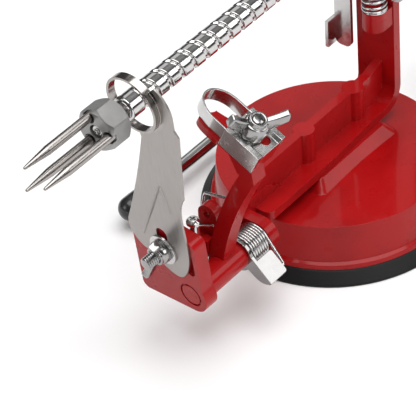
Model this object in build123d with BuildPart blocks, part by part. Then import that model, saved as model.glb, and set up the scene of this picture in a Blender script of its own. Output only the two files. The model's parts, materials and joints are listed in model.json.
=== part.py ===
"""Apple peeler, corer and slicer on a suction base.

Millimetres. +X points forward from the crank to the fork, +Y to the side of the peeling arm,
+Z up. The origin is the centre of the suction pad's flat underside.
"""
import os
from math import acos, atan2, cos, degrees, hypot, radians, sin

from build123d import *

os.makedirs("parts", exist_ok=True)

# ---- driving dimensions ------------------------------------------------------------------

# suction base
pad_radius = 57.0
pad_edge_height = 1.2
pad_rim_radius = 52.8
pad_rim_height = 5.7
pad_recess_radius = 44.0
pad_floor_thickness = 3.5
dome_lip_radius = 52.4
dome_lip_height = 2.0
dome_skirt_step = 2.0
dome_skirt_taper = 1.3
dome_shoulder_height = 26.0
dome_shoulder_round = 2.6
dome_crown_height = 28.0
dome_wall = 2.4
pedestal_top_height = 31.5
pedestal_foot = (56.0, 33.0)
pedestal_top = (44.8, 22.2)

# suction lever and what it lifts
lever_rod_radius = 2.9
lever_axis_height = 10.0
lever_reach = 60.0
lever_arm_length = 46.0
lever_bend_radius = 7.0
lever_knob_length = 23.0
lever_knob_radius = 6.6
eccentric_radius = 2.1
eccentric_offset = 0.7
stud_width = 7.0
stud_eye_wall = 1.8
plate_radius = 28.0
plate_thickness = 1.5
axle_lug_distance = 9.0
axle_lug_thickness = 4.0

# frame casting
foot_thickness = 4.0
foot_half_width = 10.6
post_right = 8.5
foot_front = 56.0
foot_bend_radius = 11.0
post_back = -38.2
post_thickness = 4.2
web_thickness = 4.0
web_height = 15.0
web_front = 53.0
gusset_rise = 3.0
boss_radius = 4.6
boss_positions = (18.5, -15.7)
neck_side = -4.2
neck_thickness = 7.2
neck_start = 38.0
neck_height = 10.0
head_boss_radius = 11.0
head_boss_length = 13.0
head_boss_front = -33.0

lug_back = 81.0
lug_thickness = 4.6
lug_side = 2.6
lug_width = 9.2
lug_height = 56.6
lug_hole_radius = 1.8
stop_height = 40.0
stop_width = 6.0
arm_stop_side = 6.0
spring_boss_height = 9.0
ear_radius = 5.0

# frame screws
frame_screw_radius = 2.1
frame_screw_head_radius = 4.0
frame_screw_head_height = 2.6
frame_screw_grip = 14.0
screw_seat_radius = 6.0
screw_seat_depth = 1.6

# pivot of the peeling arm
pivot_side = 11.07
pivot_height = 30.9
pivot_pin_radius = 3.0
pivot_head_radius = 4.7
pivot_head_thickness = 2.0
pivot_groove_width = 0.8
pivot_boss_radius = 7.25
pivot_boss_front = 66.0
pivot_boss_length = 5.5
pivot_pin_stop = 1.0
running_fit = 0.05

# bracket and slicing blade: their common plane leans back and turns in a little
blade_plane_reach = 108.5
blade_lean = 5.94
blade_toe_in = 4.67
bracket_thickness = 6.4
bracket_left = -28.0
bracket_right = 6.9
bracket_bottom = -11.3
bracket_boss_radius = 8.3
bracket_top = 31.0
slot_left = 0.6
slot_wall = 2.1
slot_middle = 20.9
slot_length = 17.0
slicer_thickness = 1.0
ring_side_offset = 1.2
ring_height_offset = 0.6
ring_inner_radius = 11.5
ring_wall = 1.2
ring_depth = 3.6
slicer_bolt_place = (-9.4, 21.5)
slicer_bolt_radius = 2.8
slicer_bolt_reach = 9.0
slicer_washer_radius = 6.8
slicer_nut_span = 22.0
slicer_nut_height = 9.0
slicer_nut_angle = 68.0
slicer_edge_bow = -0.8
slicer_slot_rise = 8.0
slicer_rib_top = (-5.0, 57.8)
slicer_rib_feet = ((-20.1, 24.2), (-1.7, 44.9))
slicer_rib_height = 0.5
stop_screw_setback = 6.0
stop_screw_side = 10.0
stop_screw_seat = 61.0
stop_screw_radius = 1.5
stop_screw_grip = 6.0
stop_screw_stand = 2.4
stop_screw_head_radius = 2.8
stop_screw_head_height = 2.4

# feed shaft and fork
shaft_height = 129.2
shaft_radius = 5.05
groove_lead = 7.25
groove_width = 2.4
groove_depth = 1.2
groove_turns_behind = 3
groove_turns_ahead = 21
shaft_front = 125.0
shaft_rear = -75.0
shaft_neck_radius = 4.0
fork_start = 130.0
hub_radius = 9.3
hub_flat = 8.3
hub_length = 10.5
hub_edge_bevel = 1.2
prong_count = 3
prong_circle_radius = 6.1
prong_radius = 1.9
prong_length = 36.0
prong_point_length = 13.0
prong_first_angle = 118.0
prong_notch_radius = 2.6
prong_notch_depth = 2.0
bush_radius = 7.0
bush_collar_radius = 9.2
bush_collar_length = 1.5
bush_fit = 0.08
bush_end_play = 0.3
prong_seat = 6.0
prong_taper = 5.0
fork_screw_radius = 1.5
fork_screw_head_radius = 2.7
fork_screw_head_height = 1.8
fork_screw_sink = 2.4
fork_screw_length = 8.0

# crank
crank_length = 80.0
crank_thickness = 5.0
crank_hub_radius = 9.0
crank_tip_radius = 7.0
crank_nut_width = 13.0
crank_nut_height = 6.0
spindle_radius = 3.0
spindle_head_radius = 5.0
knob_length = 40.0
knob_radius = 12.0
knob_end_radius = 8.5

# release lever on the post
sheet_thickness = 1.6
release_plane = -30.8
release_pivot_side = 12.4
release_pivot_drop = 33.2
release_pin_radius = 2.0
release_tail_side = -18.6
release_tail_width = 8.4
release_tail_drop = 71.4
release_shoulder_drop = 11.2
tooth_width = 2.4
tooth_thickness = 1.3
tooth_root_gap = 0.35
release_spring_side = 3.0
release_spring_reach = -28.3
release_spring_drop = 45.2
release_spring_radius = 4.9
release_spring_length = 10.4
release_spring_turns = 5
release_eye_radius = 5.0
release_tab_height = 13.0
release_tab_depth = 6.4
spring_tang = 3.6
spring_wire_radius = 0.6
wire_facets = 8

# peeling arm
arm_front = 90.0
arm_plate_thickness = 3.0
arm_flange_depth = 7.5
arm_hub_radius = 6.0
arm_sleeve_radius = 5.6
arm_hub_back = 79.2
arm_left_foot = (5.4, 33.5)
arm_right_foot = (12.4, 32.0)
arm_left_head = (25.4, 87.2)
arm_right_head = (31.4, 83.6)
arm_bow = 2.6
thumb_angle = -43.0
thumb_eye_radius = 7.6
thumb_length = 17.6
thumb_edge = 6.4
thumb_width = 6.6
thumb_tab_length = 11.0
thumb_tab_depth = 10.6
coil_turns = 7
coil_radius = 6.7
coil_gap = 0.15
hook_reach = 80.0

# peeling head: its plane faces up and towards the apple
head_tilt = 26.6
head_middle = 81.5
head_side = 19.5
head_height = 106.0
clamp_right = 9.0
clamp_left = -8.0
clamp_length = 17.2
clamp_sheet = 1.0
clamp_flange = 9.6
peeler_width = 7.0
peeler_sheet = 0.8
peeler_reach = 17.0
peeler_bow_start = 6.0
core_start = 2.6
tongue_right = 8.8
tongue_thickness = 3.4
blade_bolt_radius = 2.4
bolt_across = 1.0
bolt_along = 7.2
blade_bolt_reach = 8.6
blade_nut_span = 24.6
blade_nut_height = 12.4
blade_nut_angle = 148.0
blade_washer_radius = 4.3
valley_depth = 1.4
valley_left = -4.3
valley_right = 5.3
clamp_hole_across = -1.2
clamp_hole_along = 12.8
clamp_hole_radius = 2.3
washer_thickness = 1.2
bolt_head_radius = 4.0
bolt_head_height = 2.0
nut_barrel_wall = 2.7
nut_wing_thickness = 2.6
nut_fit = 0.07
nut_barrel_taper = 11.0

# ---- places worked out from them ---------------------------------------------------------

foot_top = pedestal_top_height + foot_thickness
web_top = foot_top + web_height
post_front = post_back + post_thickness
neck_top = pedestal_top_height + neck_height
release_pivot_height = shaft_height - release_pivot_drop
release_tail_bottom = shaft_height - release_tail_drop
release_shoulder_height = shaft_height - release_shoulder_drop
release_spring_foot = shaft_height - release_spring_drop
pivot = (pivot_side, pivot_height)
blade_plane = Plane(
    origin=(blade_plane_reach, pivot_side, pivot_height),
    x_dir=(sin(radians(blade_toe_in)), cos(radians(blade_toe_in)), 0),
    z_dir=(
        cos(radians(blade_lean)) * cos(radians(blade_toe_in)),
        -cos(radians(blade_lean)) * sin(radians(blade_toe_in)),
        -sin(radians(blade_lean)),
    ),
)
head_plane = Plane(
    origin=(head_middle, head_side, head_height),
    x_dir=(1, 0, 0),
    z_dir=(0, sin(radians(head_tilt)), cos(radians(head_tilt))),
)
thumb_plane = Plane(
    origin=(arm_hub_back - sheet_thickness, pivot_side, pivot_height),
    x_dir=(0, cos(radians(thumb_angle)), sin(radians(thumb_angle))),
    z_dir=(1, 0, 0),
)
peeler_right = clamp_right - clamp_sheet
peeler_left = clamp_left + clamp_sheet
tongue_top = -clamp_sheet - peeler_width
screw_places = [(reach, 0) for reach in boss_positions]
screw_seat_height = dome_crown_height - dome_wall - screw_seat_depth
ring_reach = blade_plane_reach + 9.6
ring_centre_local = blade_plane.to_local_coords(
    Vector(ring_reach, ring_side_offset, shaft_height + ring_height_offset)
)
ring_centre = (ring_centre_local.X, ring_centre_local.Y)


def facing_forward(reach, side=0.0, height=0.0):
    """A plane across the X axis, its own x towards +Y and its own y up."""
    return Plane(origin=(reach, side, height), x_dir=(0, 1, 0), z_dir=(1, 0, 0))


def wire_section(path):
    """The plane across the start of a path."""
    return Plane(origin=path @ 0, z_dir=path % 0)


# the arm's spring: its rear leg leaves the coil towards the thumb tab, its front leg upwards
coil_pitch = 2 * spring_wire_radius + coil_gap
coil_front = arm_hub_back - sheet_thickness - spring_wire_radius - coil_gap
leg_target = (thumb_length * 0.86, thumb_edge - sheet_thickness - spring_wire_radius - 0.15)
leg_distance = hypot(*leg_target)
leg_angle = degrees(atan2(leg_target[1], leg_target[0]) + acos(coil_radius / leg_distance))
coil_start_angle = leg_angle + thumb_angle
coil_turn_count = coil_turns + 0.25 - coil_start_angle / 360
coil_back = coil_front - coil_turn_count * coil_pitch
spring_plane = Plane(
    origin=(coil_back, *pivot),
    x_dir=(0, cos(radians(coil_start_angle)), sin(radians(coil_start_angle))),
    z_dir=(1, 0, 0),
)
leg_start = spring_plane.from_local_coords((coil_radius, 0, 0))
leg_foot = thumb_plane.from_local_coords((*leg_target, 0))
leg_end = Vector(coil_back, leg_foot.Y, leg_foot.Z)

# where the arm meets the tongue under the peeling head
tongue_middle = tongue_top - tongue_thickness / 2
head_heel = head_plane.from_local_coords((0, clamp_length, tongue_middle))
head_toe = head_plane.from_local_coords((0, clamp_length / 4, tongue_middle))

# across the peeling head, seen from its far end
clamp_profile_plane = Plane(
    origin=head_plane.origin, x_dir=head_plane.x_dir, z_dir=-head_plane.y_dir
)
stop_screw_plane = Plane(
    origin=(blade_plane_reach - stop_screw_setback, stop_screw_side, stop_screw_seat)
)

# ---- suction base ------------------------------------------------------------------------

with BuildPart() as suction_pad:
    with BuildSketch(Plane.XZ):
        with BuildLine():
            Polyline(
                (0, 0),
                (pad_radius, 0),
                (pad_radius, pad_edge_height),
                (pad_rim_radius, pad_rim_height),
                (pad_recess_radius, pad_rim_height),
                (pad_recess_radius, pad_floor_thickness),
                (0, pad_floor_thickness),
                close=True,
            )
        make_face()
    revolve(axis=Axis.Z)

lip_top = pad_rim_height + dome_lip_height
skirt_foot_radius = dome_lip_radius - dome_skirt_step
shoulder_radius = skirt_foot_radius - dome_skirt_taper
lug_bottom_radius = lever_rod_radius + 1.9

with BuildPart() as base_dome:
    with BuildSketch(Plane.XZ):
        with BuildLine():
            Polyline(
                (0, pad_rim_height),
                (dome_lip_radius, pad_rim_height),
                (dome_lip_radius - 0.4, lip_top),
                (skirt_foot_radius, lip_top + 0.8),
                (shoulder_radius, dome_shoulder_height),
                (0, dome_crown_height),
                close=True,
            )
        shoulder = make_face()
        fillet(
            shoulder.vertices().filter_by(lambda v: abs(v.Z - dome_shoulder_height) < 0.01),
            dome_shoulder_round,
        )
    revolve(axis=Axis.Z)
    with BuildSketch(Plane.XY.offset(dome_crown_height - dome_wall)):
        RectangleRounded(*pedestal_foot, 4)
    with BuildSketch(Plane.XY.offset(pedestal_top_height)):
        RectangleRounded(*pedestal_top, 2)
    loft()
    with BuildSketch(Plane.XZ):
        with BuildLine():
            Polyline(
                (0, pad_rim_height),
                (dome_lip_radius - dome_wall, pad_rim_height),
                (shoulder_radius - dome_wall, dome_shoulder_height - dome_wall - 1),
                (shoulder_radius - 2 * dome_wall, dome_shoulder_height - dome_wall),
                (0, dome_crown_height - dome_wall),
                close=True,
            )
        make_face()
    revolve(axis=Axis.Z, mode=Mode.SUBTRACT)
    for side in (-1, 1):
        with BuildSketch(Plane.XZ.offset(side * axle_lug_distance)):
            with Locations((0, lever_axis_height)):
                Circle(lug_bottom_radius)
            with BuildLine():
                Polyline(
                    (-lug_bottom_radius, lever_axis_height),
                    (lug_bottom_radius, lever_axis_height),
                    (lug_bottom_radius + 3, dome_crown_height - dome_wall / 2),
                    (-lug_bottom_radius - 3, dome_crown_height - dome_wall / 2),
                    close=True,
                )
            make_face()
        extrude(amount=axle_lug_thickness / 2, both=True)
    with BuildSketch(Plane.XZ) as axle_bore:
        with Locations((0, lever_axis_height)):
            Circle(lever_rod_radius + running_fit)
    lug_outside = axle_lug_distance + axle_lug_thickness
    extrude(amount=lug_outside, both=True, mode=Mode.SUBTRACT)
    with BuildSketch(Plane.XZ.offset(skirt_foot_radius - 2 * dome_wall - 4)):
        with Locations((0, lever_axis_height)):
            Circle(lever_rod_radius + 0.4)
        with Locations((0, (lever_axis_height + pad_rim_height) / 2)):
            Rectangle(2 * (lever_rod_radius + 0.4), lever_axis_height - pad_rim_height)
    extrude(amount=5 * dome_wall, mode=Mode.SUBTRACT)
    with BuildSketch(Plane.XY.offset(screw_seat_height)):
        with Locations(*screw_places):
            Circle(screw_seat_radius)
    extrude(amount=dome_crown_height - screw_seat_height)
    with BuildSketch(Plane.XY.offset(pedestal_top_height)):
        with Locations(*screw_places):
            Circle(frame_screw_radius)
    extrude(amount=screw_seat_height - pedestal_top_height, mode=Mode.SUBTRACT)

stud_eye_radius = lever_rod_radius + 0.3
stud_radius = stud_eye_radius + stud_eye_wall
plate_top = pad_floor_thickness + plate_thickness

with BuildPart() as pad_plate:
    with BuildSketch(Plane.XY.offset(pad_floor_thickness)):
        Circle(plate_radius)
    extrude(amount=plate_thickness)
    chamfer(pad_plate.edges().group_by(Axis.Z)[-1], plate_thickness / 3)

with BuildPart() as pad_stud:
    with BuildSketch(Plane.XZ):
        with Locations((0, lever_axis_height)):
            Circle(stud_radius)
        with Locations((0, (plate_top + lever_axis_height) / 2)):
            Rectangle(stud_radius * 1.6, lever_axis_height - plate_top)
    extrude(amount=stud_width / 2, both=True)
    with BuildSketch(Plane.XY.offset(plate_top)):
        Circle(stud_radius + 1)
    extrude(amount=0.8)
    with BuildSketch(Plane.XZ):
        with Locations((0, lever_axis_height)):
            Circle(stud_eye_radius)
    extrude(amount=stud_width, both=True, mode=Mode.SUBTRACT)

# ---- suction lever -----------------------------------------------------------------------

axle_end = axle_lug_distance + axle_lug_thickness / 2 + 2
knob_back = lever_arm_length - 1
knob_front = knob_back + lever_knob_length

with BuildPart() as suction_lever:
    with BuildLine() as rod_line:
        FilletPolyline(
            (0, axle_end, lever_axis_height),
            (0, -lever_reach, lever_axis_height),
            (knob_back + lever_knob_length / 2, -lever_reach, lever_axis_height),
            radius=lever_bend_radius,
        )
    with BuildSketch(Plane(origin=(0, axle_end, lever_axis_height), z_dir=(0, -1, 0))):
        Circle(lever_rod_radius)
    sweep(path=rod_line.wires()[0])
    with BuildSketch(Plane.XZ):
        with Locations((0, lever_axis_height)):
            Circle(lever_rod_radius + 1)
        with Locations((0, lever_axis_height - eccentric_offset)):
            Circle(eccentric_radius, mode=Mode.SUBTRACT)
    extrude(amount=(stud_width + 1) / 2, both=True, mode=Mode.SUBTRACT)
    with BuildSketch(Plane.XZ.offset(-axle_end)):
        with Locations((0, lever_axis_height)):
            Circle(lever_rod_radius + 1)
    extrude(amount=1.2)

with BuildPart() as suction_knob:
    with BuildSketch(Plane.XY.offset(lever_axis_height)):
        with BuildLine():
            ThreePointArc(
                (knob_back, -lever_reach + lever_knob_radius * 0.62),
                (knob_back + lever_knob_length * 0.42, -lever_reach + lever_knob_radius),
                (knob_front - lever_knob_radius * 0.8, -lever_reach + lever_knob_radius * 0.88),
            )
            ThreePointArc(
                (knob_front - lever_knob_radius * 0.8, -lever_reach + lever_knob_radius * 0.88),
                (knob_front - lever_knob_radius * 0.22, -lever_reach + lever_knob_radius * 0.62),
                (knob_front, -lever_reach + lever_knob_radius * 0.3),
            )
            Polyline(
                (knob_front, -lever_reach + lever_knob_radius * 0.3),
                (knob_front, -lever_reach),
                (knob_back, -lever_reach),
                (knob_back, -lever_reach + lever_knob_radius * 0.62),
            )
        make_face()
    revolve(axis=Axis((0, -lever_reach, lever_axis_height), (1, 0, 0)))
    with BuildSketch(facing_forward(knob_back, -lever_reach, lever_axis_height)):
        Circle(lever_rod_radius)
    extrude(amount=lever_knob_length / 2, mode=Mode.SUBTRACT)

# ---- frame casting -----------------------------------------------------------------------

spring_boss_radius = release_spring_radius + 0.2
ear_back = post_back
ear_front = release_plane - 0.3
neck_back_fit = blade_plane_reach - bracket_thickness + 2

with BuildPart() as frame_casting:
    # foot flange that turns up into the post
    with BuildSketch(Plane.XZ):
        with BuildLine():
            FilletPolyline(
                (foot_front, pedestal_top_height),
                (post_back, pedestal_top_height),
                (post_back, shaft_height),
                radius=foot_bend_radius,
            )
            Line((post_back, shaft_height), (post_front, shaft_height))
            FilletPolyline(
                (post_front, shaft_height),
                (post_front, foot_top),
                (foot_front, foot_top),
                radius=foot_bend_radius - foot_thickness,
            )
            Line((foot_front, foot_top), (foot_front, pedestal_top_height))
        make_face()
    extrude(amount=foot_half_width, both=True)
    fillet(
        frame_casting.edges().filter_by(Axis.Z).group_by(Axis.X)[-1].sort_by(Axis.Y)[-1:],
        foot_half_width / 3,
    )
    # web along the middle, its gusset on the post
    with BuildSketch(Plane.XZ):
        with BuildLine():
            FilletPolyline(
                (post_front - 1, foot_top - 1),
                (web_front, foot_top - 1),
                (web_front, web_top),
                (post_front + 3 * gusset_rise, web_top),
                (post_front - 1, web_top + gusset_rise),
                radius=3,
            )
            Line((post_front - 1, web_top + gusset_rise), (post_front - 1, foot_top - 1))
        make_face()
    extrude(amount=web_thickness / 2, both=True)
    # screw bosses on the web
    with BuildSketch(Plane.XY.offset(pedestal_top_height)):
        with Locations(*screw_places):
            Circle(boss_radius)
    extrude(amount=web_top - pedestal_top_height)
    # neck beside the arm, from the foot to the bracket
    with BuildSketch(Plane.XZ.offset(-neck_side)):
        with BuildLine():
            FilletPolyline(
                (neck_start, pedestal_top_height),
                (neck_back_fit, pedestal_top_height),
                (neck_back_fit, neck_top),
                (neck_start + neck_height, neck_top),
                (neck_start, foot_top),
                radius=2,
            )
            Line((neck_start, foot_top), (neck_start, pedestal_top_height))
        make_face()
    extrude(amount=-neck_thickness)
    # bracket plate behind the slicing blade
    with BuildSketch(blade_plane) as bracket_face:
        with BuildLine():
            Polyline(
                (bracket_left, bracket_bottom),
                (0, -bracket_boss_radius),
                (bracket_right, -2),
                (bracket_right, bracket_top),
                (bracket_left, bracket_top),
                close=True,
            )
        make_face()
        Circle(bracket_boss_radius)
        fillet(bracket_face.vertices().group_by(Axis.Z)[-1], 3)
    extrude(amount=-bracket_thickness)
    # rear lug of the pivot, joined to the neck
    pivot_boss_back = pivot_boss_front - pivot_boss_length
    with BuildSketch(facing_forward(pivot_boss_back)):
        with Locations(pivot):
            Circle(pivot_boss_radius)
            Rectangle(pivot_side, 2 * pivot_boss_radius, align=(Align.MAX, Align.CENTER))
    extrude(amount=pivot_boss_length)
    # hook lug for the arm's spring, and the arm's stop, both on the neck
    with BuildSketch(facing_forward(lug_back)):
        with BuildLine():
            Polyline(
                (lug_side - lug_width / 2, pedestal_top_height + 1),
                (lug_side + lug_width / 4, pedestal_top_height + 1),
                (lug_side + lug_width / 2, neck_top - 2),
                (lug_side + lug_width / 2, lug_height - lug_width / 2),
                (lug_side - lug_width / 2, lug_height - lug_width / 2),
                close=True,
            )
        make_face()
        with Locations((lug_side, lug_height - lug_width / 2)):
            Circle(lug_width / 2)
            Circle(lug_hole_radius, mode=Mode.SUBTRACT)
    extrude(amount=lug_thickness)
    with BuildSketch(facing_forward(arm_front - arm_plate_thickness - 0.5)):
        with Locations((neck_side + neck_thickness - 1, stop_height)):
            Rectangle(
                arm_stop_side - neck_side - neck_thickness + 1,
                stop_width,
                align=(Align.MIN, Align.CENTER),
            )
    extrude(amount=arm_plate_thickness + 1)
    # boss under the release spring
    with BuildSketch(Plane.XY.offset(release_spring_foot)):
        with Locations((release_spring_reach, release_spring_side)):
            Circle(spring_boss_radius)
        with Locations((post_front - 1, release_spring_side)):
            Rectangle(
                release_spring_reach - post_front + 1,
                2 * spring_boss_radius,
                align=(Align.MIN, Align.CENTER),
            )
    extrude(amount=-spring_boss_height)
    # the post is narrower than the foot on the arm's side
    with BuildSketch(Plane.XY.offset(pedestal_top_height - 1)):
        with BuildLine():
            Polyline(
                (post_back - 1, post_right),
                (post_front + foot_bend_radius, post_right),
                (foot_front / 4, foot_half_width),
                (foot_front / 4, foot_half_width + 1),
                (post_back - 1, foot_half_width + 1),
                close=True,
            )
        make_face()
    extrude(amount=shaft_height, mode=Mode.SUBTRACT)
    # ear beside the post that carries the release lever's pin
    with BuildSketch(facing_forward(ear_back)):
        with Locations((release_pivot_side, release_pivot_height)):
            Circle(ear_radius)
            Rectangle(
                release_pivot_side - post_right + 0.5,
                2 * ear_radius,
                align=(Align.MAX, Align.CENTER),
            )
    extrude(amount=ear_front - ear_back)
    # head of the post
    with BuildSketch(facing_forward(head_boss_front)):
        with Locations((0, shaft_height)):
            Circle(head_boss_radius)
    extrude(amount=-head_boss_length)
    # bore for the bush, holes for screws and pins
    with BuildSketch(facing_forward(head_boss_front)):
        with Locations((0, shaft_height)):
            Circle(bush_radius + bush_fit)
    extrude(amount=-head_boss_length, mode=Mode.SUBTRACT)
    with BuildSketch(Plane.XY.offset(pedestal_top_height)):
        with Locations(*screw_places):
            Circle(frame_screw_radius)
    extrude(amount=frame_screw_grip, mode=Mode.SUBTRACT)
    with BuildSketch(facing_forward(ear_back)):
        with Locations((release_pivot_side, release_pivot_height)):
            Circle(release_pin_radius)
    extrude(amount=ear_front - ear_back, mode=Mode.SUBTRACT)
    with BuildSketch(facing_forward(pivot_boss_back + pivot_pin_stop)):
        with Locations(pivot):
            Circle(pivot_pin_radius)
    extrude(amount=blade_plane_reach, mode=Mode.SUBTRACT)
    # face of the bracket: pin head and its groove, slicer's bolt hole, long slot
    with BuildSketch(blade_plane):
        Circle(pivot_head_radius + pivot_groove_width)
        Circle(pivot_head_radius, mode=Mode.SUBTRACT)
    extrude(amount=-pivot_groove_width, mode=Mode.SUBTRACT)
    with BuildSketch(blade_plane):
        Circle(pivot_head_radius)
    extrude(amount=-pivot_head_thickness, mode=Mode.SUBTRACT)
    with BuildSketch(blade_plane):
        with Locations(slicer_bolt_place):
            Circle(slicer_bolt_radius)
        with Locations(((bracket_right + slot_left) / 2 - slot_wall / 2, slot_middle)):
            SlotOverall(slot_length, bracket_right - slot_wall - slot_left, rotation=90)
    extrude(amount=-2 * bracket_thickness, mode=Mode.SUBTRACT)

with BuildPart() as frame_screws:
    with BuildSketch(Plane.XY.offset(screw_seat_height)):
        with Locations(*screw_places):
            Circle(frame_screw_radius)
    extrude(amount=pedestal_top_height - screw_seat_height + frame_screw_grip)
    with BuildSketch(Plane.XY.offset(screw_seat_height)):
        with Locations(*screw_places):
            Circle(frame_screw_head_radius)
    extrude(amount=-frame_screw_head_height)
    chamfer(
        frame_screws.edges().filter_by(GeomType.CIRCLE).group_by(Axis.Z)[0],
        frame_screw_head_height / 2,
    )
    with BuildSketch(Plane.XY.offset(screw_seat_height - frame_screw_head_height)):
        with Locations(*screw_places):
            Rectangle(4, 0.9)
            Rectangle(0.9, 4)
    extrude(amount=frame_screw_head_height / 2, mode=Mode.SUBTRACT)

with BuildPart() as pivot_pin:
    with BuildSketch(facing_forward(pivot_boss_back + pivot_pin_stop)):
        with Locations(pivot):
            Circle(pivot_pin_radius)
    extrude(amount=blade_plane_reach - pivot_boss_back - pivot_pin_stop - 1)
    with BuildSketch(blade_plane):
        Circle(pivot_head_radius)
    extrude(amount=-pivot_head_thickness)

# ---- peeling arm -------------------------------------------------------------------------

plate_back = arm_front - arm_plate_thickness
flange_back = arm_front - arm_flange_depth
hub_front = blade_plane_reach - bracket_thickness - 1.2

with BuildPart() as peel_arm:
    # front plate between two gently bowed edges
    with BuildSketch(facing_forward(plate_back)):
        with BuildLine():
            Line(arm_left_foot, arm_right_foot)
            SagittaArc(arm_right_foot, arm_right_head, arm_bow)
            Line(arm_right_head, arm_left_head)
            SagittaArc(arm_left_head, arm_left_foot, -arm_bow)
        make_face()
    extrude(amount=arm_plate_thickness)
    # side flange along the outer edge
    with BuildSketch(facing_forward(flange_back)):
        with BuildLine():
            inner_foot = (arm_right_foot[0] - arm_plate_thickness, arm_right_foot[1])
            inner_head = (arm_right_head[0] - arm_plate_thickness, arm_right_head[1])
            Line(inner_foot, arm_right_foot)
            SagittaArc(arm_right_foot, arm_right_head, arm_bow)
            Line(arm_right_head, inner_head)
            SagittaArc(inner_head, inner_foot, -arm_bow)
        make_face()
    extrude(amount=arm_flange_depth)
    # hub on the pivot and its sleeve inside the spring
    with BuildSketch(facing_forward(arm_hub_back)):
        with Locations(pivot):
            Circle(arm_hub_radius)
    extrude(amount=hub_front - arm_hub_back)
    with BuildSketch(facing_forward(pivot_boss_front + 0.4)):
        with Locations(pivot):
            Circle(arm_sleeve_radius)
    extrude(amount=arm_hub_back - pivot_boss_front)
    # head block: a core between the blade's legs on a wider tongue that the blade stands on
    with BuildSketch(head_plane.offset(tongue_top - 1)):
        with Locations((peeler_left + peeler_sheet, core_start)):
            Rectangle(
                peeler_right - peeler_left - 2 * peeler_sheet,
                clamp_length - core_start,
                align=(Align.MIN, Align.MIN),
            )
    extrude(amount=1 - tongue_top - valley_depth - clamp_sheet)
    with BuildSketch(head_plane.offset(tongue_top)):
        with BuildLine():
            Polyline(
                (peeler_right, clamp_length),
                (peeler_right, 0),
                (tongue_right, peeler_right - tongue_right),
                (tongue_right, -5),
            )
            Spline(
                (tongue_right, -5),
                (tongue_right * 0.62, -12.6),
                (0, -10),
                (-3.5, 0),
                tangents=((0, -1), (-0.3, 1)),
            )
            Polyline(
                (-3.5, 0), (-5.5, 4), (-5.5, clamp_length), (peeler_right, clamp_length)
            )
        make_face()
    extrude(amount=-tongue_thickness)
    with BuildSketch(facing_forward(flange_back)):
        with BuildLine():
            Polyline(
                inner_head,
                arm_right_head,
                (head_heel.Y, head_heel.Z),
                (head_toe.Y, head_toe.Z),
                (arm_left_head[0] - 2, arm_left_head[1] - 1),
                close=True,
            )
        make_face()
    extrude(amount=arm_flange_depth)
    # bores
    with BuildSketch(facing_forward(pivot_boss_front)):
        with Locations(pivot):
            Circle(pivot_pin_radius + running_fit)
    extrude(amount=hub_front - pivot_boss_front, mode=Mode.SUBTRACT)
    with BuildSketch(head_plane):
        with Locations((bolt_across, bolt_along)):
            Circle(blade_bolt_radius)
    extrude(amount=-2 * tongue_thickness - peeler_width, mode=Mode.SUBTRACT)
    with BuildSketch(head_plane.offset(tongue_top - tongue_thickness)):
        with Locations((bolt_across, bolt_along)):
            Circle(bolt_head_radius + 0.3)
    extrude(amount=-bolt_head_height - 3 * tongue_thickness, mode=Mode.SUBTRACT)

with BuildPart() as arm_thumb_lever:
    with BuildSketch(thumb_plane) as thumb_outline:
        Circle(thumb_eye_radius)
        with BuildLine():
            Polyline((0, thumb_edge), (thumb_length, thumb_edge))
            Spline(
                (thumb_length, thumb_edge),
                (thumb_length * 0.78, thumb_edge - 0.8 * thumb_width),
                (thumb_length * 0.4, thumb_edge - thumb_width),
                (0, -thumb_eye_radius * 0.9),
            )
            Line((0, -thumb_eye_radius * 0.9), (0, thumb_edge))
        make_face()
        Circle(arm_sleeve_radius, mode=Mode.SUBTRACT)
    extrude(amount=sheet_thickness)
    with BuildSketch(thumb_plane.offset(sheet_thickness)):
        with Locations((thumb_length, thumb_edge)):
            Rectangle(thumb_tab_length, sheet_thickness, align=(Align.MAX, Align.MAX))
    extrude(amount=-thumb_tab_depth)
    fillet(
        arm_thumb_lever.edges()
        .filter_by(lambda e: abs(e.length - sheet_thickness) < 0.01)
        .group_by(Axis.X)[0],
        1.2,
    )

# the hook passes over the frame's lug and down its far side
hook_side = lug_side - lug_width / 2 - 2 * spring_wire_radius
hook_top = lug_height + 2 * spring_wire_radius

with BuildPart() as arm_spring:
    with BuildLine() as spring_line:
        FilletPolyline(
            leg_end + Vector(thumb_tab_depth / 3, 0, 0),
            leg_end,
            leg_start,
            radius=1.2,
        )
        turns = Helix(
            pitch=coil_pitch,
            height=coil_pitch * coil_turn_count,
            radius=coil_radius,
            mode=Mode.PRIVATE,
        )
        add(spring_plane.location * turns)
        FilletPolyline(
            (coil_front, pivot_side, pivot_height + coil_radius),
            (coil_front, pivot_side - 0.75 * coil_radius, pivot_height + coil_radius),
            (coil_front, pivot_side - 0.6 * coil_radius, pivot_height + 2 * coil_radius),
            (hook_reach, pivot_side - spring_wire_radius, hook_top + 2.4),
            (hook_reach, hook_side + 0.5, hook_top),
            (hook_reach, hook_side, neck_top + 6),
            (hook_reach + lug_thickness, hook_side - 0.4, neck_top + 3),
            radius=1.6,
        )
    spring_path = Wire(spring_line.edges())
    with BuildSketch(wire_section(spring_path)):
        RegularPolygon(spring_wire_radius, wire_facets, major_radius=True)
    sweep(path=spring_path)

# ---- peeling blade and its clamp ---------------------------------------------------------

with BuildPart() as peeling_blade:
    with BuildSketch(head_plane.offset(-clamp_sheet)):
        with Locations(((peeler_right + peeler_left) / 2, -peeler_bow_start)):
            for inset, mode in ((0, Mode.ADD), (peeler_sheet, Mode.SUBTRACT)):
                half_width = (peeler_right - peeler_left) / 2 - inset
                Ellipse(half_width, peeler_reach - peeler_bow_start - inset, mode=mode)
                Rectangle(
                    2 * half_width,
                    clamp_length - 1 + peeler_bow_start + inset,
                    align=(Align.CENTER, Align.MIN),
                    mode=mode,
                )
    extrude(amount=-peeler_width)

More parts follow.
